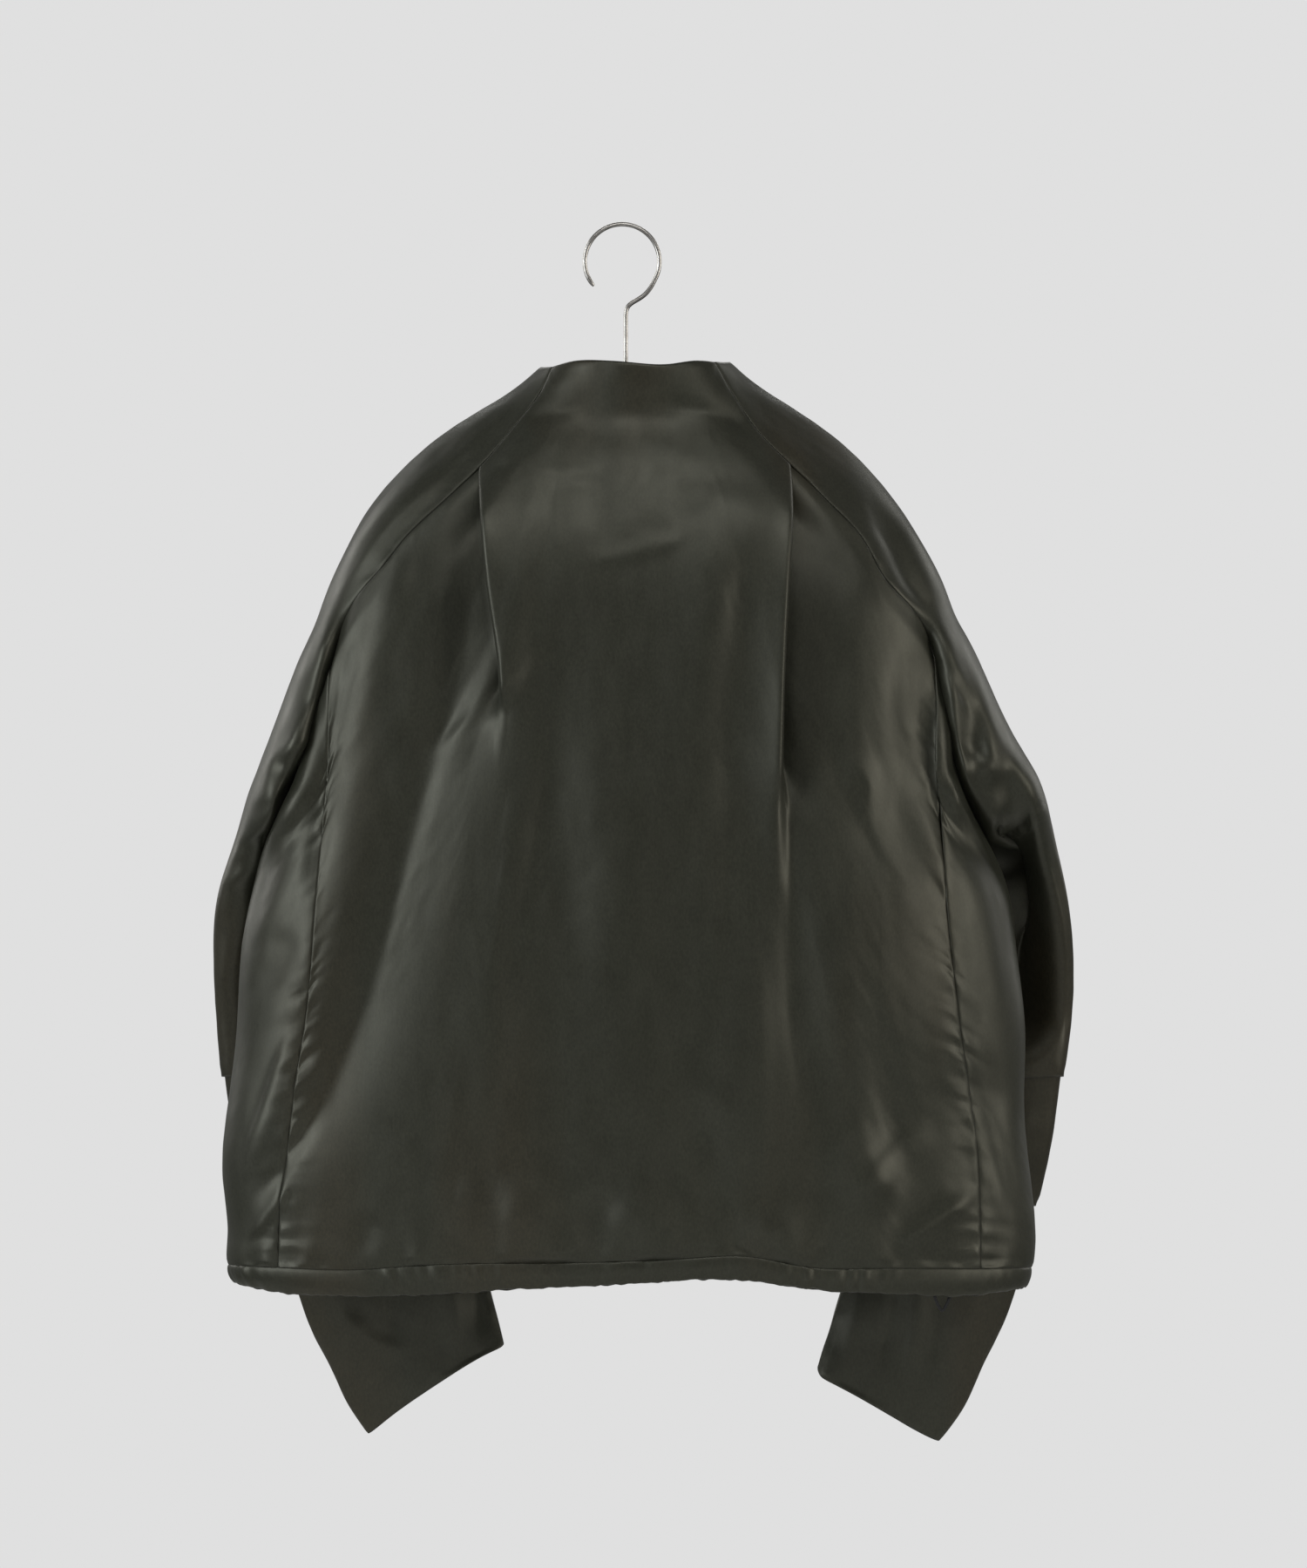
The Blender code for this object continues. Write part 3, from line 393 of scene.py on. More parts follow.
SLEEVE_BACK_FOLDS = {
    -1: (
        Fold(((-136, 182), (-172, 214), (-206, 258), (-228, 310)), 13, 3.6, 0.2),
        Fold(((-214, 300), (-230, 344), (-244, 386)), 8, -2.0),
        Fold(((-206, 350), (-250, 400), (-280, 470)), 9, 2.6),
        Fold(((-236, 420), (-262, 452), (-300, 474)), 7, -3.0),
        Fold(((-240, 404), (-268, 420), (-290, 440)), 5, 1.8),
        Fold(((-250, 470), (-284, 492), (-312, 500)), 6, -3.4, 0.3),
        Fold(((-268, 500), (-300, 520), (-324, 530)), 7, 2.6),
        Fold(((-290, 540), (-312, 580), (-318, 640)), 9, 2.4),
        Fold(((-300, 600), (-300, 640), (-308, 676)), 6, -2.0),
        Fold(((-90, 140), (-118, 160), (-150, 196)), 9, 1.6),
    ),
    1: (
        Fold(((198, 212), (218, 254), (236, 300), (252, 336)), 9, -3.2),
        Fold(((222, 222), (244, 276), (262, 330)), 9, 2.0),
        Fold(((234, 300), (262, 350), (286, 420)), 9, 2.6),
        Fold(((250, 344), (268, 366), (282, 392)), 3.4, -2.2),
        Fold(((256, 400), (284, 420), (306, 436)), 6, -2.2),
        Fold(((280, 512), (302, 524), (308, 556), (310, 604), (312, 672)), 20, -30.0, 0.45, (0.12, 0.8),
             1.8),
        Fold(((110, 152), (140, 182), (170, 220)), 9, 1.6),
    ),
}
SLEEVE_FRONT_FOLDS = mirrored(
    Fold(((130, 200), (186, 260), (226, 330)), 11, 3.0, 0.2),
    Fold(((196, 260), (236, 340), (262, 400)), 10, -3.0),
    Fold(((250, 400), (268, 470), (250, 540)), 10, 3.6),
    Fold(((316, 470), (282, 520), (236, 552)), 9, 3.4, 0.3),
    Fold(((320, 520), (280, 566), (228, 590)), 9, -3.2),
    Fold(((318, 580), (270, 612), (214, 640)), 8, 2.8),
    Fold(((300, 640), (262, 664), (214, 676)), 8, -2.4),
)
MIDDLE_FOLDS = mirrored(
    Fold(((300, 690), (268, 730), (262, 782)), 9, 2.8, 0.2),
    Fold(((250, 690), (236, 730), (240, 782)), 8, -2.4),
    Fold(((210, 692), (206, 736), (190, 784)), 9, 2.4),
    Fold(((186, 700), (170, 740), (166, 780)), 7, -2.0),
    Fold(((326, 700), (318, 740), (300, 780)), 8, 2.0),
)
LOWER_FOLDS = {
    -1: (
        Fold(((-250, 800), (-228, 860), (-214, 940)), 10, 2.8, 0.2),
        Fold(((-196, 800), (-184, 850), (-190, 920)), 9, -2.6),
        Fold(((-150, 810), (-138, 856), (-136, 916)), 9, 3.0, -0.2),
        Fold(((-118, 820), (-116, 860), (-112, 900)), 6, -1.8),
        Fold(((-226, 870), (-200, 896), (-168, 904)), 6, 1.6),
    ),
    1: (
        Fold(((300, 800), (282, 860), (272, 930)), 9, 2.6, 0.2),
        Fold(((262, 800), (256, 860), (246, 930)), 7, -2.6),
        Fold(((238, 830), (236, 880), (228, 936)), 5, 2.4),
        Fold(((222, 836), (216, 876), (206, 920)), 5, -2.0),
        Fold(((196, 820), (190, 866), (180, 912)), 8, 2.2),
        Fold(((178, 856), (171, 880), (165, 906)), 2.2, -1.2),
    ),
}
FRONT_FOLDS = (
    Fold(((-112, 220), (-128, 380), (-150, 560), (-176, 740)), 17, 6.5, 0.3, (0.15, 0.7)),
    Fold(((-150, 250), (-176, 400), (-206, 600)), 16, -5.0),
    Fold(((-70, 300), (-80, 520), (-96, 760)), 18, -3.6),
    Fold(((134, 216), (146, 380), (160, 560), (186, 740)), 17, 6.5, -0.3, (0.15, 0.7)),
    Fold(((176, 260), (200, 420), (226, 600)), 16, -5.0),
    Fold(((88, 300), (98, 520), (112, 760)), 18, -3.6),
    Fold(((-236, 480), (-246, 620), (-262, 770)), 12, 3.4),
    Fold(((254, 480), (264, 620), (280, 770)), 12, 3.4),
    Fold(((-196, 760), (-214, 800), (-240, 828)), 8, 2.6, 0.3),
    Fold(((206, 756), (226, 800), (250, 828)), 8, 2.6, 0.3),
    Fold(((-60, 150), (0, 158), (76, 150)), 8, -1.8),
)

# Places beside the armholes that are brought nearer the back (out above 0) or set deeper.
Swell = namedtuple("Swell", "x drop across down out")
ARMHOLE_SWELLS = (
    Swell(270, 352, 12, 18, -8.0),
    Swell(276, 382, 14, 20, -13.0),
    Swell(279, 412, 16, 28, -17.0),
    Swell(272, 446, 8, 20, 8.0),
    Swell(302, 470, 12, 20, 9.0),
    Swell(309, 440, 11, 27, -10.0),
    Swell(335, 460, 10, 36, 8.0),
    Swell(-250, 352, 12, 18, -10.0),
    Swell(-256, 378, 15, 20, -24.0),
    Swell(-261, 408, 17, 26, -25.0),
    Swell(-272, 436, 15, 20, -20.0),
)


def smooth_step(value, low, high):
    t = np.clip((np.asarray(value, dtype=float) - low) / (high - low), 0, 1)
    return t * t * (3 - 2 * t)


def run_along(line):
    """How far along a line of points each of them lies."""
    return np.concatenate(([0], np.cumsum(np.linalg.norm(np.diff(line, axis=0), axis=1))))


def smooth_path(points, count):
    """A smooth curve through the points, as a count of points at even steps, and its length."""
    points = np.array(points, dtype=float)
    run = run_along(points)
    axes = "xyz"[:points.shape[1]]
    table = Table("run " + " ".join(axes), np.column_stack((run, points)))
    even = np.linspace(0, run[-1], count)
    return np.column_stack([table(axis, even) for axis in axes]), run[-1]


def crowded(length, step=STEP, end=True):
    """Shares from 0 to 1, about a step apart, with extra ones near the ends for the seams' roll."""
    near = [distance / length for distance in ROLL_ROWS]
    first = near[-1] + step / length
    last = 1 - near[-1] - step / length if end else 1.0
    shares = [0.0, *near, *np.linspace(first, last, max(2, round((last - first) * length / step) + 1))]
    if end:
        shares += [1 - share for share in near[::-1]] + [1.0]
    return np.array(shares)


# ---- the body's level sections ----

def ring_centre(drop):
    left, right = BODY("left", drop), BODY("right", drop)
    return (left + right) / 2, (right - left) / 2


def ring_share(x, drop):
    """How far across the body a place is: 0 at its middle, 1 at its edge."""
    centre, half = ring_centre(drop)
    return np.clip(np.abs((x - centre) / half), 0, 1)


def ring_depth(x, drop, face):
    """How far the body's back (face -1) or front (face 1) lies from the hook's plane."""
    squareness = BODY("squareness", drop)
    return BODY(FACE_NAME[face], drop) * (1 - ring_share(x, drop) ** squareness) ** (1 / squareness)


def ring_turn(x, drop):
    """The angle round the body, 0 at its edge, that a point of the back or front has."""
    return np.arccos(ring_share(x, drop) ** (BODY("squareness", drop) / 2))


def ring_point(side, turn, drop):
    """A point round the body's edge: turn is negative to the back and positive to the front."""
    centre, half = ring_centre(drop)
    power = 2 / BODY("squareness", drop)
    depth = np.where(turn < 0, BODY("back", drop), BODY("front", drop))
    x = centre + side * half * np.abs(np.cos(turn)) ** power
    y = depth * np.sign(turn) * np.abs(np.sin(turn)) ** power
    return x, y


def section_at(points):
    """The body's level section at each point: its middle, half width, depth to that face, and squareness."""
    drop = -points[..., 2]
    depth = np.where(points[..., 1] < 0, BODY("back", drop), BODY("front", drop))
    return *ring_centre(drop), depth, BODY("squareness", drop)


# ---- panels of the body ----

def raglan_line(side):
    """The seam's points (drop, x) from the collar down."""
    seam = RAGLAN[side]
    length = np.hypot(np.ptp(seam.first), np.ptp(seam.columns["x"]))
    drop = seam.first[0] + np.ptp(seam.first) * crowded(length)
    return np.column_stack((drop, seam("x", drop)))


def top_line(collar, extra=()):
    """The upper edge of a body from the left side panel's point over the collar to the right one's."""
    left, right = raglan_line(-1)[::-1], raglan_line(1)
    inner = np.linspace(left[-1, 1], right[0, 1], COLLAR_POINTS)[1:-1]
    line = np.vstack((left, np.column_stack((collar("drop", inner), inner)), right))
    kept = [x for x in line[:, 1] if all(abs(x - at) > PLEAT_STEP for at in extra)]
    all_x = np.sort(np.concatenate((kept, extra)))
    return all_x, np.interp(all_x, line[:, 1], line[:, 0])


def body_grid(top_x, top_drop):
    """Columns that run from the upper edge to the casing, between the two side seams."""
    low_x = FLARE("bottom", top_x)
    low_drop = CASING_SEAM("drop", low_x)
    across = (low_x - low_x[0]) / (low_x[-1] - low_x[0])
    down = crowded(BODY_RUN)[:, None]
    drop = (1 - down) * top_drop + down * low_drop
    x = (1 - down) * top_x + down * low_x
    for side, weight in ((-1, 1 - across), (1, across)):
        edge = 0 if side < 0 else -1
        bow = SIDE_SEAM[side]("x", drop[:, edge]) - x[:, edge]
        x = x + bow[:, None] * weight ** 2
    return x, drop


def pleat_columns(x):
    """Each pleat's side, and the column of the back that its middle runs along."""
    return [(side, int(np.argmin(np.abs(x[0] - begin)))) for side, begin in PLEATS]


def along_pleats(x, drop):
    """Bends the back's columns so that the pleats' own columns run along the pleats' lines."""
    top = np.arange(len(x))[:, None] == 0
    for side, column in pleat_columns(x):
        hold = 1 - smooth_step(drop[:, column], *PLEAT_LINE_DROPS)
        bend = (PLEAT_LINE[side]("x", drop[:, column]) - side * PLEAT_EDGE - x[:, column]) * hold
        near = 1 - smooth_step(np.abs(x - x[:, column:column + 1]), *PLEAT_LINE_REACH)
        begins = smooth_step(drop - drop[:, column:column + 1] + PLEAT_LINE_BEGIN, 0, PLEAT_LINE_BEGIN)
        x = x + bend[:, None] * near * np.where(top, 0, begins)
    return x


def pleat_back(x, drop):
    """Folds the pleats into the back's rows: slides each row sideways and stacks its layers."""
    lift = np.zeros_like(x)
    folded_x, folded_drop = x.copy(), drop.copy()
    edge_at_full = PLEAT_FOLD_AT - PLEAT_SLIDE * math.sin(math.pi * PLEAT_FOLD_AT / PLEAT_ZONE)
    for side, column in pleat_columns(x):
        for row in range(len(x)):
            fade = 1 - float(smooth_step(drop[row, column], *PLEAT_DROPS[side]))
            away = (x[row] - x[row, column]) * -side
            zone = np.clip(away / PLEAT_ZONE, -1, 1)
            off_line = (PLEAT_FOLD_AT - edge_at_full) * (1 - fade)
            keep_line = 1 - smooth_step(np.abs(away), *PLEAT_KEEPS_LINE)
            sideways = -PLEAT_SLIDE * fade * np.sin(math.pi * zone) - off_line * keep_line
            folded_x[row] += sideways * -side
            folded_drop[row] = np.interp(folded_x[row], x[row], drop[row])
            # the steps over the outer fold, over the inner one, and over the one soft edge further down
            outer = np.tanh((away - PLEAT_FOLD_AT) / PLEAT_FOLD_LENGTH)
            inner = np.tanh((away + PLEAT_FOLD_AT) / PLEAT_FOLD_LENGTH)
            from_edge = away + sideways - edge_at_full
            soft = np.tanh(from_edge / np.interp((1 - fade) ** PLEAT_OPENING, (0, 1), PLEAT_SOFTNESS[side]))
            folded = smooth_step(fade, *PLEAT_UNFOLDED)
            reach = 1 - smooth_step(np.abs(away), *PLEAT_REACH)
            layers = folded * (outer + inner) + (1 - folded) * 2 * soft
            lift[row] += PLEAT_LAYER / 2 * fade * layers * reach
            above = (1 + folded * outer + (1 - folded) * soft) / 2
            below = (1 - folded * inner - (1 - folded) * soft) / 2
            rise = sum(height * np.exp(-np.maximum(from_edge, 0) / run) for height, run in PLEAT_STANDS)
            sink = PLEAT_SINK[0] * np.exp(-np.maximum(-from_edge, 0) / PLEAT_SINK[1])
            drape = 1 - smooth_step(drop[row, column], *PLEAT_DRAPE_DROPS[side])
            drape *= PLEAT_OPEN_DRAPE[side] + (1 - PLEAT_OPEN_DRAPE[side]) * folded
            drape *= smooth_step(drop[row] - drop[0], *PLEAT_DRAPE_BEGIN)
            lift[row] += drape * (rise * above - sink * below)
    return folded_x, folded_drop, lift


def seam_lift(x):
    """How far the pleats' stacked layers lift the raglan seams, averaged over the layers."""
    lift = 0.0
    for side, begin in PLEATS:
        away = (x - begin) * -side
        reach = 1 - smooth_step(np.abs(away), *PLEAT_REACH)
        lift = lift + PLEAT_LAYER * reach * np.sin(math.pi / 2 * np.clip(away / PLEAT_ZONE, -1, 1))
    return lift


def back_panel():
    in_pleat = np.arange(-PLEAT_ZONE, PLEAT_ZONE + 0.1, PLEAT_STEP)
    x, drop = body_grid(*top_line(COLLAR_BACK, np.concatenate([begin + in_pleat for _, begin in PLEATS])))
    x = along_pleats(x, drop)
    smooth = np.dstack((x, -ring_depth(x, drop, -1), -drop))
    x, drop, lift = pleat_back(x, drop)
    return np.dstack((x, -ring_depth(x, drop, -1) - lift, -drop)), grid_normals(smooth)


def front_panels():
    x, drop = body_grid(*top_line(COLLAR_FRONT))
    whole = np.dstack((x, ring_depth(x, drop, 1), -drop))
    middle = int(np.argmin(np.abs(x[0])))
    return whole[:, :middle + 1], whole[:, middle:]


def side_panel(side):
    """From the back's side seam (first column) round the body's edge to the front's (last column)."""
    seam = SIDE_SEAM[side]
    turn_share = 2 * crowded(SIDE_GIRTH) - 1
    top = ARMPIT_DROP - (ARMPIT_DROP - seam.first[0]) * np.abs(turn_share) ** ARMHOLE_BEND
    down = crowded(SIDE_RUN)[:, None]
    low = CASING_SEAM("drop", seam("x", CASING_DROP))
    edge_low = CASING_SEAM("drop", BODY(SIDE_NAME[side], CASING_DROP))
    low = low + (edge_low - low) * (1 - np.abs(turn_share))
    drop = (1 - down) * top + down * low
    x, y = ring_point(side, turn_share * ring_turn(seam("x", drop), drop), drop)
    return np.dstack((x, y, -drop))


# ---- sleeves ----

def arc(start, outer, bulge, face, share):
    """Level arc from the outer end (share 0) over a crest to the seam point start (share 1)."""
    rise = np.clip(np.abs(start[1] - outer[1]) / bulge, 0, 1)
    turn = math.pi - math.asin(rise)
    reach = math.sqrt(1 - rise ** 2)
    middle = (start[0] + reach * outer[0]) / (1 + reach)
    x = middle + (outer[0] - middle) * np.cos(turn * share)
    y = outer[1] + face * bulge * np.sin(turn * share)
    return x, y


def shoulder_row(side, drop, seam_back, seam_front, shares):
    """One row of the sleeve above the armpit, from the back seam round the outline to the front seam."""
    leave = smooth_step(drop, *SLEEVE_LEAVES)
    outline = SHOULDER[side]("x", drop) if drop > SHOULDER[side].first[0] else BODY(SIDE_NAME[side], drop)
    outer = (outline, 0.0)
    halves = []
    for face, seam in ((-1, seam_back), (1, seam_front)):
        turn = ring_turn(seam[0], drop) * face * shares
        ring_x, ring_y = ring_point(side, turn, drop)
        ring_y = ring_y + (seam[1] - ring_y[0]) * shares ** 2
        bulge = max(SHOULDER[side](FACE_NAME[face], drop), LEAST_BULGE * abs(seam[1]))
        own = arc(seam, outer, bulge, face, shares)
        x = ring_x + (own[0] - ring_x) * leave
        y = ring_y + (own[1] - ring_y) * leave
        halves.append(np.column_stack((x, y, np.full_like(x, -drop))))
    return np.vstack((halves[0], halves[1][::-1][1:]))


def sleeve_row(side, drop, inset, shares):
    """One closed row of the sleeve below the armpit, from the underarm seam round to it again."""
    table = SLEEVE[side]
    outer = np.array((table("outer_x", drop), table("outer_y", drop), -drop))
    inner = np.array((table("inner_x", drop), table("inner_y", drop), -table("inner_drop", drop)))
    middle, half = (outer + inner) / 2, (outer - inner) / 2
    half = half * (1 - inset / np.linalg.norm(half))
    turn = math.pi * np.concatenate((shares, -shares[::-1][1:]))[:, None]
    flat = inset * TUCK_FLATTENING
    bulge = np.where(turn > 0, flat - table("back", drop), table("front", drop) - flat)
    row = middle + half * np.cos(turn)
    row[:, 1:2] += bulge * np.abs(np.sin(turn))
    ramp = smooth_step(drop - ARMPIT_DROP, *CLEARANCE_RAMP)
    return clear_of_body(row, TUCK_CLEARANCE * inset + BODY_CLEARANCE * ramp)


def clear_of_body(points, clearance):
    """Moves points that lie in the body, or closer than the clearance, straight out of it."""
    centre, half, depth, power = section_at(points)
    away = np.column_stack((points[:, 0] - centre, points[:, 1]))
    size = (np.abs(away[:, 0] / half) ** power + np.abs(away[:, 1] / depth) ** power) ** (1 / power)
    wanted = 1 + clearance / np.linalg.norm(away, axis=1)
    push = PUSH_SOFTNESS * np.logaddexp(0, (wanted / size - 1) / PUSH_SOFTNESS)
    below = smooth_step(-points[:, 2], BODY.first[-1], BODY.first[-1] + HEM_EASE)
    away = away * (1 + push * (1 - below))[:, None]
    return np.column_stack((centre + away[:, 0], away[:, 1], points[:, 2]))


def bring_back(grid, move):
    """Moves a grid towards the back, but less where it lies towards the front."""
    grid[:, :, 1] -= move * (1 - smooth_step(grid[:, :, 1], *ARMHOLE_FILL_FADE))


def fill_armhole(grid):
    """Brings the valley between the side panel and the sleeve towards the back, on every panel alike."""
    drop = -grid[:, :, 2]
    begin, finish = ARMHOLE_FILL_DROPS
    strength = ARMHOLE_FILL * smooth_step(drop, *begin) * (1 - smooth_step(drop, *finish))
    for edge in SIDE_NAME.values():
        bring_back(grid, strength * np.exp(-((grid[:, :, 0] - BODY(edge, drop)) / ARMHOLE_FILL_WIDTH) ** 2))
    for swell in ARMHOLE_SWELLS:
        across, down = (grid[:, :, 0] - swell.x) / swell.across, (drop - swell.drop) / swell.down
        bring_back(grid, swell.out * np.exp(-across ** 2 - down ** 2))
    return grid


def sleeve_grid(side, length, tuck, armhole):
    """A length of the sleeve; the upper one starts at the collar and follows raglan and armhole seams."""
    shares = 1 - crowded(SLEEVE_GIRTH, end=False)
    rows = []
    top, bottom = SLEEVE_LENGTHS[side][length]
    if length == "upper":
        for drop, x in raglan_line(side)[:-1]:
            back = (x, -ring_depth(x, drop, -1) - seam_lift(x))
            front = (x, ring_depth(x, drop, 1))
            rows.append(shoulder_row(side, drop, back, front, shares))
        middle = len(armhole) // 2
        for step in range(0, middle, 2):
            back, front = armhole[step], armhole[-1 - step]
            row = shoulder_row(side, -back[2], back[:2], front[:2], shares)
            row[0], row[-1] = back, front
            rows.append(row)
    for share in crowded(bottom - top):
        row = sleeve_row(side, top + (bottom - top) * share, TUCK_STEP * tuck, shares)
        if length == "lower":
            hang = CUFF_EDGE[side]("down", np.concatenate((shares, shares[::-1][1:])))
            row[:, 2] -= hang * smooth_step(share, CUFF_BEGIN, 1)
        rows.append(row)
    return np.array(rows)


def casing_grid(panels):
    """The hem casing hangs from the lower edges of all the panels and follows their points."""
    ring = [panels[name][-1] for name in ("front_left", "side_left", "back", "side_right", "front_right")]
    line = np.vstack([ring[0]] + [part[1:] for part in ring[1:]])
    drop = -line[:, 2]
    centre, _ = ring_centre(drop)
    side = np.where(line[:, 0] < centre, -1, 1)
    turn = ring_turn(line[:, 0], drop) * np.where(line[:, 1] < 0, -1, 1)
    rows = []
    for share in crowded(CASING_RUN, CASING_STEP):
        low = drop + (HEM_EDGE("drop", line[:, 0]) - drop) * share
        x, y = ring_point(side, turn, low)
        rows.append(np.column_stack((x, y, -low)))
    return np.array(rows)


# ---- relief ----

def as_seen(points):
    """Enlarges what is farther away than the hook and reduces what is nearer, as the photograph shows it."""
    far = 1 + points[..., 1] * MM / CAMERA_DISTANCE
    across = PHOTO_CENTRE[0] + (points[..., 0] - PHOTO_CENTRE[0]) * far
    down = -PHOTO_CENTRE[1] + (points[..., 2] + PHOTO_CENTRE[1]) * far
    return np.stack((across, points[..., 1], down), axis=-1)


def grid_normals(grid):
    normals = np.cross(np.gradient(grid, axis=0), np.gradient(grid, axis=1))
    return normals / (np.linalg.norm(normals, axis=2)[:, :, None] + 1e-9)


def relax(grid, rounds):
    """Evens out kinks inside a grid: each round takes its points half way to their neighbours' mean."""
    for _ in range(rounds):
        around = grid[:-2, 1:-1] + grid[2:, 1:-1] + grid[1:-1, :-2] + grid[1:-1, 2:]
        grid[1:-1, 1:-1] += 0.5 * (around / 4 - grid[1:-1, 1:-1])
    return grid


def fold_relief(x, drop, folds):
    """The summed height of the folds at each point."""
    relief = np.zeros(x.shape)
    for fold in folds:
        line, length = smooth_path(fold.line, FOLD_POINTS)
        along = np.gradient(line, axis=0)
        along /= np.linalg.norm(along, axis=1)[:, None]
        reach = FOLD_REACH * fold.half_width
        low, high = line.min(axis=0) - reach, line.max(axis=0) + reach
        near = (x > low[0]) & (x < high[0]) & (drop > low[1]) & (drop < high[1])
        place = np.column_stack((x[near], drop[near]))
        offset = place[:, None] - line[None]
        closest = np.argmin(np.sum(offset ** 2, axis=2), axis=1)
        offset = offset[np.arange(len(place)), closest]
        direction = along[closest]
        across = offset[:, 0] * direction[:, 1] - offset[:, 1] * direction[:, 0]
        run = closest / (len(line) - 1) + np.sum(offset * direction, axis=1) / length
        begin, finish = fold.ends
        fade = smooth_step(run, -FOLD_OVERRUN, begin + 1e-3)
        fade *= 1 - smooth_step(run, finish, 1 + FOLD_OVERRUN)
        width = fold.half_width * (FOLD_END_WIDTH + (1 - FOLD_END_WIDTH) * fade)
        width = width * (1 + fold.lean * np.sign(across))
        away = np.hypot(across / width, CRISP_ROUNDING) - CRISP_ROUNDING
        relief[near] += fold.height * fade * np.exp(-away ** fold.power)
    return relief


WIDEST_TURN = 1.2               # spread of the waves' directions about u, in radians


def waves(seed, count, shortest, longest, steepness=0.0):
    """A soft random field of (u, v) with unit spread; with a steepness near 1 it varies mostly along u."""
    random = np.random.default_rng(seed)
    length = np.exp(random.uniform(math.log(shortest), math.log(longest), count))
    turn = random.normal(0, WIDEST_TURN * (1 - steepness), count)
    phase = random.uniform(0, 2 * math.pi, count)
    strength = (length / longest) ** 0.5

    def field(u, v):
        total = 0.0
        for i in range(count):
            along = u * math.cos(turn[i]) + v * math.sin(turn[i])
            total = total + strength[i] * np.sin(2 * math.pi / length[i] * along + phase[i])
        return total / math.sqrt(np.sum(strength ** 2) / 2)
    return field


def uneven(field, mean, least, most):
    """A strength that comes and goes in patches."""
    return np.clip(mean + 0.5 * field, least, most)


# ripples beside an edge; "held" keeps the folds off it, and "roll" is the share of the turn into the seam
Pucker = namedtuple("Pucker", "height reach shortest longest held roll shade")
PUCKERS = {
    "raglan": Pucker(0.16, 9.0, 9.0, 34.0, 24.0, 1.0, 0.95),
    "side": Pucker(0.5, 12.0, 7.0, 24.0, 0.0, 1.0, 0.6),
    "armhole": Pucker(0.35, 12.0, 10.0, 30.0, 12.0, 1.0, 0.8),
    "casing": Pucker(0.8, 26.0, 16.0, 60.0, 6.0, 0.8, 0.6),
    "tuck": Pucker(0.3, 10.0, 12.0, 34.0, 10.0, 0.6, 0.6),
    "collar": Pucker(0.12, 7.0, 14.0, 40.0, 8.0, 0.4, 0.5),
    "free": Pucker(0.25, 10.0, 14.0, 40.0, 4.0, 0.4, 0.5),
    "middle": Pucker(0.15, 8.0, 12.0, 40.0, 12.0, 0.5, 0.4),
}
SEWN_EDGES = ("raglan", "side", "armhole")
SEWN_REACH = 9.0                # over which the relief turns from a panel's own direction to its seam's
PUCKER_BEGINS = 3.0             # away from the edge: where the ripples are in full
PUCKER_SLANT = 0.35
SEEDS = {name: 11 + 7 * i for i, name in enumerate(PUCKERS)}


def edge_distance(grid, edge):
    """Each point's distance from an edge, and how far along that edge its row or column begins."""
    line = {"top": grid[0], "bottom": grid[-1], "first": grid[:, 0], "last": grid[:, -1]}[edge]
    run = run_along(line)
    if edge in ("top", "bottom"):
        return np.linalg.norm(grid - line[None], axis=2), np.broadcast_to(run, grid.shape[:2])
    return np.linalg.norm(grid - line[:, None], axis=2), np.broadcast_to(run[:, None], grid.shape[:2])


def ring_outward(grid):
    """The level direction straight out of the body, the same for all the panels that meet at a point."""
    centre, half, depth, power = section_at(grid)
    away_x, away_y = (grid[:, :, 0] - centre) / half, grid[:, :, 1] / depth
    slope_x = np.sign(away_x) * np.abs(away_x) ** (power - 1) / half
    slope_y = np.sign(away_y) * np.abs(away_y) ** (power - 1) / depth
    size = np.hypot(slope_x, slope_y) + 1e-9
    return np.dstack((slope_x / size, slope_y / size, np.zeros_like(size)))


def puckering(away, run, kind):
    """The ripples beside an edge."""
    pucker = PUCKERS[kind]
    ripple = waves(SEEDS[kind], 14, pucker.shortest, pucker.longest)
    patches = waves(SEEDS[kind] + 1, count=6, shortest=60, longest=160)
    strength = pucker.height * uneven(patches(run, 0), mean=0.9, least=0.1, most=1.8)
    begins = smooth_step(away, 0, PUCKER_BEGINS)
    return strength * begins * np.exp(-away / pucker.reach) * ripple(run, PUCKER_SLANT * away)


# How far the cloth round the neck stands out from the part's plain form: upright at the collar, then hollow.
COLLAR_STAND = Table("drop out", ((100, 5.0), (112, 3.0), (126, -1.5), (140, -6.5), (152, -10.5),
                                  (166, -12.0), (190, -9.5), (220, -5.0), (255, -1.2), (290, 0.2),
                                  (320, 0.0)))

CREASES = waves(seed=3, count=26, shortest=55, longest=200, steepness=0.88)
CREASE_HEIGHT = 0.9
FINE_CREASES = waves(seed=5, count=22, shortest=14, longest=40, steepness=0.2)
FINE_CREASE_HEIGHT = 0.07
PATCHES = waves(seed=9, count=8, shortest=120, longest=300)
TURNED = (0.02, 0.4)            # how far a place faces the back or front where that side's folds fade in


def arc_places(grid):
    """Millimetres across each row from the middle column, and down each column from the top."""
    across = np.cumsum(np.linalg.norm(np.diff(grid, axis=1), axis=2), axis=1)
    across = np.hstack((np.zeros((len(grid), 1)), across))
    across = across - across[:, grid.shape[1] // 2][:, None]
    down = np.cumsum(np.linalg.norm(np.diff(grid, axis=0), axis=2), axis=0)
    return across, np.vstack((np.zeros((1, grid.shape[1])), down))


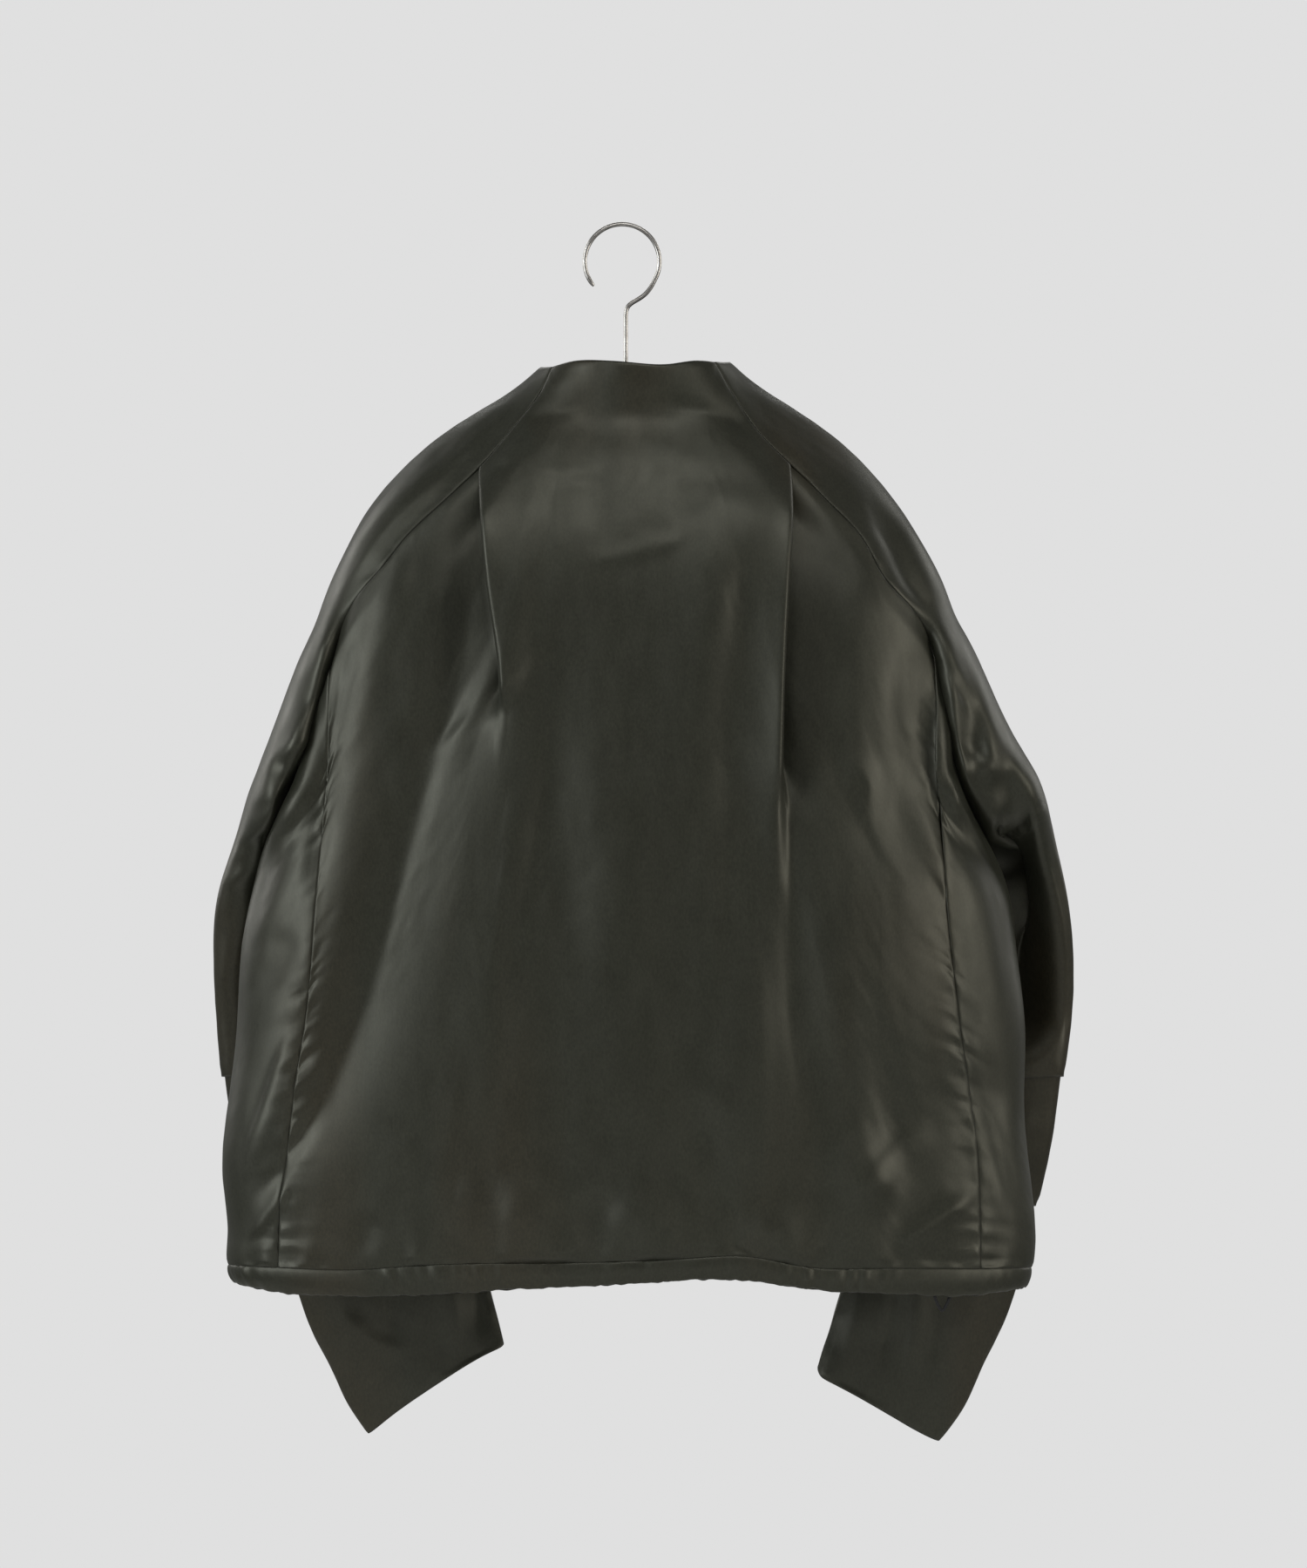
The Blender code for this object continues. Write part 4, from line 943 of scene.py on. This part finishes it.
def cloth_relief(grid, edges, back_folds, front_folds, creased, normals=None):
    """A panel with all its relief, and how near each of its points is to a seam (1 on it, 0 away)."""
    x, drop = grid[:, :, 0], -grid[:, :, 2]
    normals = grid_normals(grid) if normals is None else normals
    facing, outward = normals[:, :, 1], ring_outward(grid)
    relief = fold_relief(x, drop, back_folds) * smooth_step(-facing, *TURNED)
    relief += fold_relief(x, drop, front_folds) * smooth_step(facing, *TURNED)
    places = arc_places(grid)
    creases = CREASE_HEIGHT * CREASES(*places) + FINE_CREASE_HEIGHT * FINE_CREASES(*places)
    relief += creased * uneven(PATCHES(*places), mean=0.6, least=0.1, most=1.6) * creases
    seam, ripples, roll, sewn = (np.zeros(x.shape) for _ in range(4))
    for edge, kind in edges.items():
        away, run = edge_distance(grid, edge)
        if PUCKERS[kind].held:
            relief *= smooth_step(away, 0, PUCKERS[kind].held)
        ripples += puckering(away, run, kind)
        into_seam = np.interp(away, *zip(*SEAM_ROLL))
        roll = np.maximum(roll, PUCKERS[kind].roll * into_seam)
        seam = np.maximum(seam, PUCKERS[kind].shade * np.exp(-(away / SEAM_SHADE) ** 2))
        if kind in SEWN_EDGES:
            sewn = np.maximum(sewn, 1 - smooth_step(away, 0, SEWN_REACH))
    stand = COLLAR_STAND("out", drop) * np.abs(outward[:, :, 1])
    directions = normals + (outward - normals) * sewn[:, :, None]
    return grid + directions * (relief + ripples - roll)[:, :, None] + outward * stand[:, :, None], seam


# ---- materials ----

WAVE_PERIOD_AT_ONE = 0.314      # of Blender's wave texture at scale 1, in metres


class Material:
    """A new material. Its methods add nodes and give the socket that leaves them, but for fill and finish."""

    def __init__(self, name):
        self.made = bpy.data.materials.new(name)
        self.made.use_nodes = True
        self.nodes, self.links = self.made.node_tree.nodes, self.made.node_tree.links

    @cached_property
    def place(self):
        """Where a point lies on its piece, in metres."""
        return self.nodes.new("ShaderNodeTexCoord").outputs["Object"]

    def fill(self, node, inputs):
        """Links the inputs that are given as a socket, and sets the others' values."""
        for name, value in inputs.items():
            if isinstance(value, bpy.types.NodeSocket):
                self.links.new(value, node.inputs[name])
            else:
                node.inputs[name].default_value = value
        return node

    def finish(self, inputs):
        """The material, once these inputs of its shader are filled."""
        self.fill(self.nodes["Principled BSDF"], inputs)
        return self.made

    def add(self, kind, inputs, output):
        return self.fill(self.nodes.new(kind), inputs).outputs[output]

    def stretched(self, stretch):
        return self.add("ShaderNodeMapping", {"Scale": stretch, "Vector": self.place}, "Vector")

    def noise(self, scale, detail, stretch=(1, 1, 1)):
        inputs = {"Scale": scale, "Detail": detail, "Vector": self.stretched(stretch)}
        return self.add("ShaderNodeTexNoise", inputs, "Fac")

    def wave(self, period, distortion=0.0, stretch=(1, 1, 1)):
        node = self.nodes.new("ShaderNodeTexWave")
        node.bands_direction = "DIAGONAL"
        inputs = {"Scale": WAVE_PERIOD_AT_ONE / period, "Distortion": distortion}
        return self.fill(node, inputs | {"Vector": self.stretched(stretch)}).outputs["Fac"]

    def ramp(self, factor, *stops):
        node = self.nodes.new("ShaderNodeValToRGB")
        elements = node.color_ramp.elements
        elements[0].position, elements[-1].position = stops[0][0], stops[-1][0]
        for place, _ in stops[1:-1]:
            elements.new(place)
        for element, (_, colour) in zip(elements, stops):
            element.color = (*colour, 1)
        return self.fill(node, {"Fac": factor}).outputs["Color"]

    def spread(self, value, before, after):
        """Takes a value out of the range before into the range after."""
        ends = zip(("From Min", "From Max", "To Min", "To Max"), (*before, *after))
        return self.add("ShaderNodeMapRange", {"Value": value, **dict(ends)}, "Result")

    def mix(self, share, first, second, blend="MIX"):
        node = self.nodes.new("ShaderNodeMix")
        node.data_type = "RGBA"
        node.blend_type = blend
        return self.fill(node, {"Factor": share, "A": first, "B": second}).outputs["Result"]

    def bump(self, height, strength, distance, below=None):
        inputs = {"Height": height, "Strength": strength, "Distance": distance}
        if below is not None:
            inputs["Normal"] = below
        return self.add("ShaderNodeBump", inputs, "Normal")


SATIN_ROUGHNESS = (0.38, 0.47)
SATIN_BANDS = 9.0               # colour bands a metre, across the cloth
SATIN_STRETCH = (1.0, 1.0, 0.16)
WEFT_PERIOD = 0.00055
GRAIN_SCALE = 620.0
STITCH_LENGTH = 0.0032
BRAID_PERIOD = 0.0011


def satin(name, green=OLIVE_GREEN, brown=OLIVE_BROWN, shade=OLIVE_SHADE):
    """Satin of green warp and brown weft: soft colour bands, a fine diagonal weave and a broad sheen."""
    cloth = Material(name)
    bands = cloth.noise(SATIN_BANDS, detail=2.0, stretch=SATIN_STRETCH)
    mottle = cloth.noise(scale=38.0, detail=4.0)
    worn = cloth.ramp(mottle, (0.35, (0.22,) * 3), (0.6, (0.0,) * 3))
    colour = cloth.mix(worn, cloth.ramp(bands, (0.36, green), (0.52, green), (0.66, brown)), (*shade, 1))
    grain = cloth.noise(GRAIN_SCALE, detail=3.0, stretch=(1.0, 1.0, 0.55))
    colour = cloth.mix(1.0, colour, cloth.ramp(grain, (0.3, (0.72,) * 3), (0.7, (1.28,) * 3)), "MULTIPLY")
    near_seam = cloth.nodes.new("ShaderNodeAttribute")
    near_seam.attribute_name = "seam"
    dashes = cloth.spread(cloth.wave(STITCH_LENGTH, stretch=(2.0, 0.0, 1.0)), (0, 1), (0.5, 1))
    stitched = cloth.nodes.new("ShaderNodeMath")
    stitched.operation = "MULTIPLY"
    cloth.fill(stitched, {0: near_seam.outputs["Fac"], 1: dashes})
    weft = cloth.bump(cloth.wave(WEFT_PERIOD, distortion=1.5), strength=0.12, distance=0.00008)
    slubs = cloth.noise(scale=420.0, detail=2.0, stretch=(1.0, 1.0, 0.12))
    gloss = cloth.noise(scale=60.0, detail=3.0, stretch=(1.0, 1.0, 0.4))
    return cloth.finish({
        "Base Color": cloth.mix(stitched.outputs["Value"], colour, (*SEAM_DARK_AND_RIM_SHADE, 1)),
        "Normal": cloth.bump(slubs, strength=0.25, distance=0.00012, below=weft),
        "Roughness": cloth.spread(gloss, (0.3, 0.7), SATIN_ROUGHNESS),
        "Specular IOR Level": 0.6,
        "Specular Tint": (1.0, 0.99, 0.84, 1),
        "Anisotropic": 0.4,
        "Sheen Weight": 0.03,
        "Sheen Roughness": 0.45,
        "Sheen Tint": (0.75, 0.80, 0.66, 1),
    })


def cord_material():
    cord = Material("black_cord")
    braid = cord.bump(cord.wave(BRAID_PERIOD), strength=0.6, distance=0.0003)
    fuzz = cord.noise(scale=2600.0, detail=2.0)
    return cord.finish({
        "Base Color": cord.ramp(fuzz, (0.3, BLACK), (0.75, WORN_BLACK)),
        "Normal": cord.bump(fuzz, strength=0.3, distance=0.0001, below=braid),
        "Roughness": 0.72,
    })


def steel_material():
    steel = Material("steel_wire")
    drawn = steel.noise(scale=900.0, detail=3.0, stretch=(1.0, 1.0, 0.05))
    spots = steel.noise(scale=140.0, detail=4.0)
    return steel.finish({
        "Base Color": steel.ramp(spots, (0.35, DULL_STEEL), (0.6, STEEL)),
        "Normal": steel.bump(drawn, strength=0.15, distance=0.00005),
        "Metallic": 1.0,
        "Roughness": 0.28,
    })


def wood_material():
    wood = Material("hanger_bar")
    grain = wood.noise(scale=60.0, detail=6.0, stretch=(0.12, 1.0, 1.0))
    pores = wood.noise(scale=420.0, detail=2.0, stretch=(0.06, 1.0, 1.0))
    return wood.finish({
        "Base Color": wood.ramp(grain, (0.3, DARK_WOOD), (0.55, WOOD), (0.75, PALE_WOOD)),
        "Normal": wood.bump(pores, strength=0.25, distance=0.0002),
        "Roughness": 0.38,
        "Coat Weight": 0.3,
    })


# ---- pieces ----

def finish_piece(made, node):
    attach(made, BODY_NAME)
    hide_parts(node)


def add_object(name, data):
    made = bpy.data.objects.new(name, data)
    bpy.context.scene.collection.objects.link(made)
    return made


def grid_mesh(name, grid):
    rows, columns = grid.shape[:2]
    faces = []
    for row in range(rows - 1):
        for column in range(columns - 1):
            corner = row * columns + column
            faces.append((corner, corner + columns, corner + columns + 1, corner + 1))
    mesh = bpy.data.meshes.new(name)
    mesh.from_pydata((as_seen(grid).reshape(-1, 3) * MM).tolist(), [], faces)
    mesh.shade_smooth()
    return mesh


def cloth_piece(name, grid, finish, seam, thickness=SHELL):
    """A panel's thin shell: its grid as a smooth mesh, thickened by a solidify modifier and put in place of
    the part's node.
    """
    mesh = grid_mesh(name + "_shell", grid)
    for side_finish in finish:
        mesh.materials.append(side_finish)
    shade = mesh.attributes.new("seam", "FLOAT", "POINT")
    shade.data.foreach_set("value", seam.ravel().astype(np.float32))
    made = add_object(name + "_shell", mesh)
    thick = made.modifiers.new("thickness", "SOLIDIFY")
    thick.thickness = thickness * MM
    thick.offset = 0
    # the rims take the second material: painted shade along the free edges and where panels meet
    thick.material_offset_rim = 1
    finish_piece(made, name)


BODY_EDGES = {"top": "raglan", "bottom": "casing", "first": "side", "last": "side"}
SLEEVE_EDGES = {
    "upper": {"top": "collar", "bottom": "tuck", "first": "raglan", "last": "raglan"},
    "middle": {"bottom": "tuck", "first": "middle", "last": "middle"},
    "lower": {"bottom": "free", "first": "middle", "last": "middle"},
}
# the folds of the back and the front of each length of a sleeve, and how creased it is
SLEEVE_FOLDS = {
    "upper": (SLEEVE_BACK_FOLDS, SLEEVE_FRONT_FOLDS, 1.0),
    "middle": (MIDDLE_FOLDS, MIDDLE_FOLDS, 0.9),
    "lower": (LOWER_FOLDS, LOWER_FOLDS, 0.9),
}
RELAXING = {"upper": 40, "middle": 12, "lower": 12}     # rounds for each length of a sleeve


def turned(grid):
    """The same grid with its columns the other way round."""
    return grid[:, ::-1].copy()


def jacket_panels():
    """Columns of every panel run the same way round the jacket, so that their faces look outwards."""
    front_left, front_right = front_panels()
    back, back_normals = back_panel()
    grids = {"back": back, "front_left": turned(front_left), "front_right": turned(front_right)}
    for side, side_name in SIDE_NAME.items():
        panel = side_panel(side)
        for tuck, length in enumerate(SLEEVE_LENGTHS[side]):
            grid = relax(sleeve_grid(side, length, tuck, panel[0]), RELAXING[length])
            grids[f"sleeve_{side_name}_{length}"] = turned(grid) if side < 0 else grid
        grids[f"side_{side_name}"] = turned(panel) if side < 0 else panel
    return {name: fill_armhole(grid) for name, grid in grids.items()}, back_normals


def panel_edges(name):
    """What is at each of a panel's edges that has ripples or a seam."""
    if name.startswith("sleeve"):
        return SLEEVE_EDGES[name.split("_")[-1]]
    if name.startswith("side"):
        return BODY_EDGES | {"top": "armhole"}
    if name.startswith("front"):
        return BODY_EDGES | {"last" if name.endswith("right") else "first": "middle"}
    return BODY_EDGES


def panel_folds(name):
    """The folds of a panel's back and front, and how creased it is."""
    if not name.startswith("sleeve"):
        return BACK_FOLDS, FRONT_FOLDS, 1.0
    side = -1 if "left" in name else 1
    back_folds, front_folds, creased = SLEEVE_FOLDS[name.split("_")[-1]]
    return back_folds[side], front_folds[side], creased


CASING_BULGE = 2.2
CASING_SET_IN = 1.6
CASING_EDGE_WAVE = 0.45
GATHER_HEIGHT = 0.45
GATHER_LENGTHS = (8.0, 26.0)


def casing_relief(grid):
    """The casing stands out round its cord, is gathered on it, and turns in at both edges."""
    normals = grid_normals(grid)
    run = run_along(grid[0])
    down = np.linspace(0, 1, len(grid))[:, None]
    round_out = np.sin(math.pi * np.clip(down, 0.02, 0.98)) ** 0.6
    gathers = waves(31, 18, *GATHER_LENGTHS)(run[None], 3 * down)
    patches = waves(seed=33, count=6, shortest=80, longest=200)
    strength = GATHER_HEIGHT * uneven(patches(run, 0), mean=0.8, least=0.15, most=1.7)[None]
    relief = CASING_BULGE * round_out - CASING_SET_IN + strength * gathers * round_out ** 0.5
    edge = waves(seed=37, count=12, shortest=9, longest=24)(run, 0)[None] * CASING_EDGE_WAVE * down ** 3
    out = grid + normals * relief[:, :, None]
    out[:, :, 2] += edge
    return out


def build_cloth():
    # a dark copy of the satin for the shells' rims: painted shade on the turned edges of collar, cuffs and
    # hem
    edge = satin("satin_rim_painted_shade", SEAM_DARK_AND_RIM_SHADE, SEAM_DARK_AND_RIM_SHADE, SEAM_DARK_AND_RIM_SHADE)
    shell = satin("satin_shell"), edge
    trim = satin("satin_trim"), edge
    grids, back_normals = jacket_panels()
    shaped = {}
    for name, grid in grids.items():
        back_folds, front_folds, creased = panel_folds(name)
        normals = back_normals if name == "back" else None
        shaped[name], seam = cloth_relief(grid, panel_edges(name), back_folds, front_folds, creased, normals)
        cloth_piece(name, shaped[name], shell, seam)
    casing = casing_grid(grids)
    seam = PUCKERS["casing"].shade * np.exp(-(edge_distance(casing, "top")[0] / SEAM_SHADE) ** 2)
    cloth_piece("hem_casing", casing_relief(casing), trim, seam, CASING_SHELL)
    right, left = shaped["front_right"], shaped["front_left"]
    whole = np.hstack((right[:, -PLACKET_COLUMNS - 1:], left[:, 1:PLACKET_COLUMNS + 1]))
    placket = whole + grid_normals(relax(whole.copy(), PLACKET_RELAXING)) * PLACKET_LIFT
    cloth_piece("placket", placket, trim, np.zeros(placket.shape[:2]))


def tube(name, points, radii, finish, roundness):
    """A bar, wire or cord as a curve with filled caps, through points in millimetres."""
    curve = bpy.data.curves.new(name, "CURVE")
    curve.dimensions = "3D"
    curve.bevel_depth = MM
    curve.bevel_resolution = roundness
    curve.use_fill_caps = True
    spline = curve.splines.new("POLY")
    spline.points.add(len(points) - 1)
    for point, (x, y, z), radius in zip(spline.points, points, radii):
        point.co = (x * MM, y * MM, z * MM, 1)
        point.radius = radius
    spline.use_smooth = True
    curve.materials.append(finish)
    return add_object(name, curve)


def build_cord():
    route = [(x, LOOP_INSIDE - ring_depth(x, LOOP_LEVEL, -1), -drop) for x, drop in LOOP_SPREAD]
    path = as_seen(smooth_path(route, LOOP_POINTS)[0])
    made = tube("drawcord_loop_cord", path, [CORD_DIAMETER / 2] * len(path), cord_material(), roundness=4)
    finish_piece(made, "drawcord_loop")


def shoulder_drop(x):
    """The drop of the jacket's outline at a place along the shoulders."""
    drops = np.linspace(BODY.first[0], SHOULDER_END_DROP, 300)
    left, right = BODY("left", drops), BODY("right", drops)
    return np.where(x < 0, np.interp(-x, -left, drops), np.interp(x, right, drops))


def build_hanger():
    low, high = HANGER_ENDS
    round_end = HANGER_ROUND_END * (1 - np.cos(np.linspace(0.05, math.pi / 2, HANGER_END_POINTS)))
    beside_end = 1.4 * HANGER_ROUND_END
    straight = np.linspace(low + beside_end, high - beside_end, HANGER_POINTS)
    x = np.concatenate((low + round_end, straight, high - round_end[::-1]))
    side_x = np.where(x < 0, x / low, x / high)
    seat = shoulder_drop(x) + HANGER_SEAT
    bow = HANGER_TOP_DROP + HANGER_BOW * side_x ** 2
    top = bow + (seat - bow) * smooth_step(side_x, *HANGER_RISE)
    slope = np.gradient(top, x)
    swell = smooth_step(side_x, *HANGER_SWELL)
    radius = HANGER_NECK_RADIUS + (HANGER_SHOULDER_RADIUS - HANGER_NECK_RADIUS) * swell
    end = np.minimum(x - low, high - x) / HANGER_ROUND_END
    radius = radius * np.sqrt(1 - (1 - np.clip(end, 0, 1)) ** 2)
    middle = top + radius * np.sqrt(1 + slope ** 2)
    line = np.column_stack((x, np.zeros_like(x), -middle))
    made = tube("hanger_wood", line, radius, wood_material(), roundness=10)
    finish_piece(made, "hanger")


def build_hook():
    turns = np.radians(np.linspace(HOOK_TIP_ANGLE, HOOK_LEAVE_ANGLE, HOOK_POINTS))
    bowl = HOOK_BOWL_RADIUS * np.column_stack((np.cos(turns), np.zeros_like(turns), np.sin(turns)))
    bowl += (0, 0, WIRE_DIAMETER / 2 - HOOK_BOWL_RADIUS)
    neck, _ = smooth_path([tuple(bowl[-1])] + [(x, 0, -drop) for x, drop in HOOK_NECK], HOOK_POINTS)
    points = np.vstack((bowl, neck[1:]))
    radii = np.full(len(points), WIRE_DIAMETER / 2)
    radii[:len(HOOK_TIP_SHARES)] *= HOOK_TIP_SHARES
    made = tube("hook_wire", points, radii, steel_material(), roundness=8)
    finish_piece(made, "hook")


# ---- camera, lights and floor ----

def place_camera():
    camera = add_object("camera", bpy.data.cameras.new("camera"))
    camera.location = (PHOTO_CENTRE[0] * MM, -CAMERA_DISTANCE, -PHOTO_CENTRE[1] * MM)
    camera.rotation_euler = (math.pi / 2, 0, 0)
    camera.data.sensor_fit = "HORIZONTAL"
    camera.data.sensor_width = SENSOR
    camera.data.lens = SENSOR * CAMERA_DISTANCE / (PHOTO_WIDTH * PIXEL * MM)
    camera.data.clip_end = CAMERA_REACH
    bpy.context.scene.camera = camera


Lamp = namedtuple("Lamp", "name place width height power colour")
LAMPS = (
    Lamp("left_softbox", (-2.75, -1.65, 0.05), 1.0, 2.2, 46, (0.94, 0.98, 1.0)),
    Lamp("right_softbox", (2.75, -1.65, -0.1), 1.0, 2.2, 30, (1.0, 0.96, 0.89)),
    Lamp("top_softbox", (0.1, -2.1, 1.35), 1.8, 0.6, 12, (1.0, 1.0, 0.98)),
    Lamp("low_softbox", (0.0, -1.35, -1.18), 2.2, 0.3, 1.2, (0.98, 1.0, 0.99)),
    Lamp("rear_left_softbox", (-2.3, 1.7, 0.5), 1.2, 1.8, 20, (1.0, 0.99, 0.97)),
    Lamp("rear_right_softbox", (2.3, 1.7, 0.5), 1.2, 1.8, 15, (1.0, 0.99, 0.97)),
    Lamp("rear_top_softbox", (0.0, 2.2, 1.3), 1.8, 0.6, 12, (1.0, 1.0, 0.98)),
)
AIM = (0.02, 0.0, -0.5)
WORLD_LIGHT = 0.17
FLOOR_DROP = 1.25
FLOOR_RADIUS = 0.95


def place_lights():
    for lamp in LAMPS:
        data = bpy.data.lights.new(lamp.name, "AREA")
        data.shape = "RECTANGLE"
        data.size, data.size_y = lamp.width, lamp.height
        data.energy = lamp.power
        data.color = lamp.colour
        made = add_object(lamp.name, data)
        made.location = lamp.place
        away = [at - to for at, to in zip(lamp.place, AIM)]
        turn_z = math.atan2(away[0], -away[1])
        tilt = math.atan2(math.hypot(away[0], away[1]), away[2])
        made.rotation_euler = (tilt, 0, turn_z)


def make_world():
    world = bpy.data.worlds.new("studio")
    bpy.context.scene.world = world
    world.use_nodes = True
    nodes, links = world.node_tree.nodes, world.node_tree.links
    seen, lighting = nodes["Background"], nodes.new("ShaderNodeBackground")
    seen.inputs["Color"].default_value = (*BACKGROUND, 1)
    lighting.inputs["Color"].default_value = (1, 1, 1, 1)
    lighting.inputs["Strength"].default_value = WORLD_LIGHT
    pick, ray = nodes.new("ShaderNodeMixShader"), nodes.new("ShaderNodeLightPath")
    links.new(ray.outputs["Is Camera Ray"], pick.inputs["Fac"])
    links.new(lighting.outputs["Background"], pick.inputs[1])
    links.new(seen.outputs["Background"], pick.inputs[2])
    links.new(pick.outputs["Shader"], nodes["World Output"].inputs["Surface"])


def make_floor():
    bpy.ops.mesh.primitive_circle_add(vertices=96, radius=FLOOR_RADIUS, fill_type="NGON",
                                      location=(AIM[0], 0, -FLOOR_DROP))
    floor = bpy.context.object
    floor.name = "floor"
    floor.data.materials.append(Material("pale_floor").finish({"Base Color": (*FLOOR, 1), "Roughness": 0.9}))


bpy.context.scene.view_settings.view_transform = "Standard"
place_camera()
build_cord()
build_cloth()
build_hanger()
build_hook()
place_lights()
make_world()
make_floor()
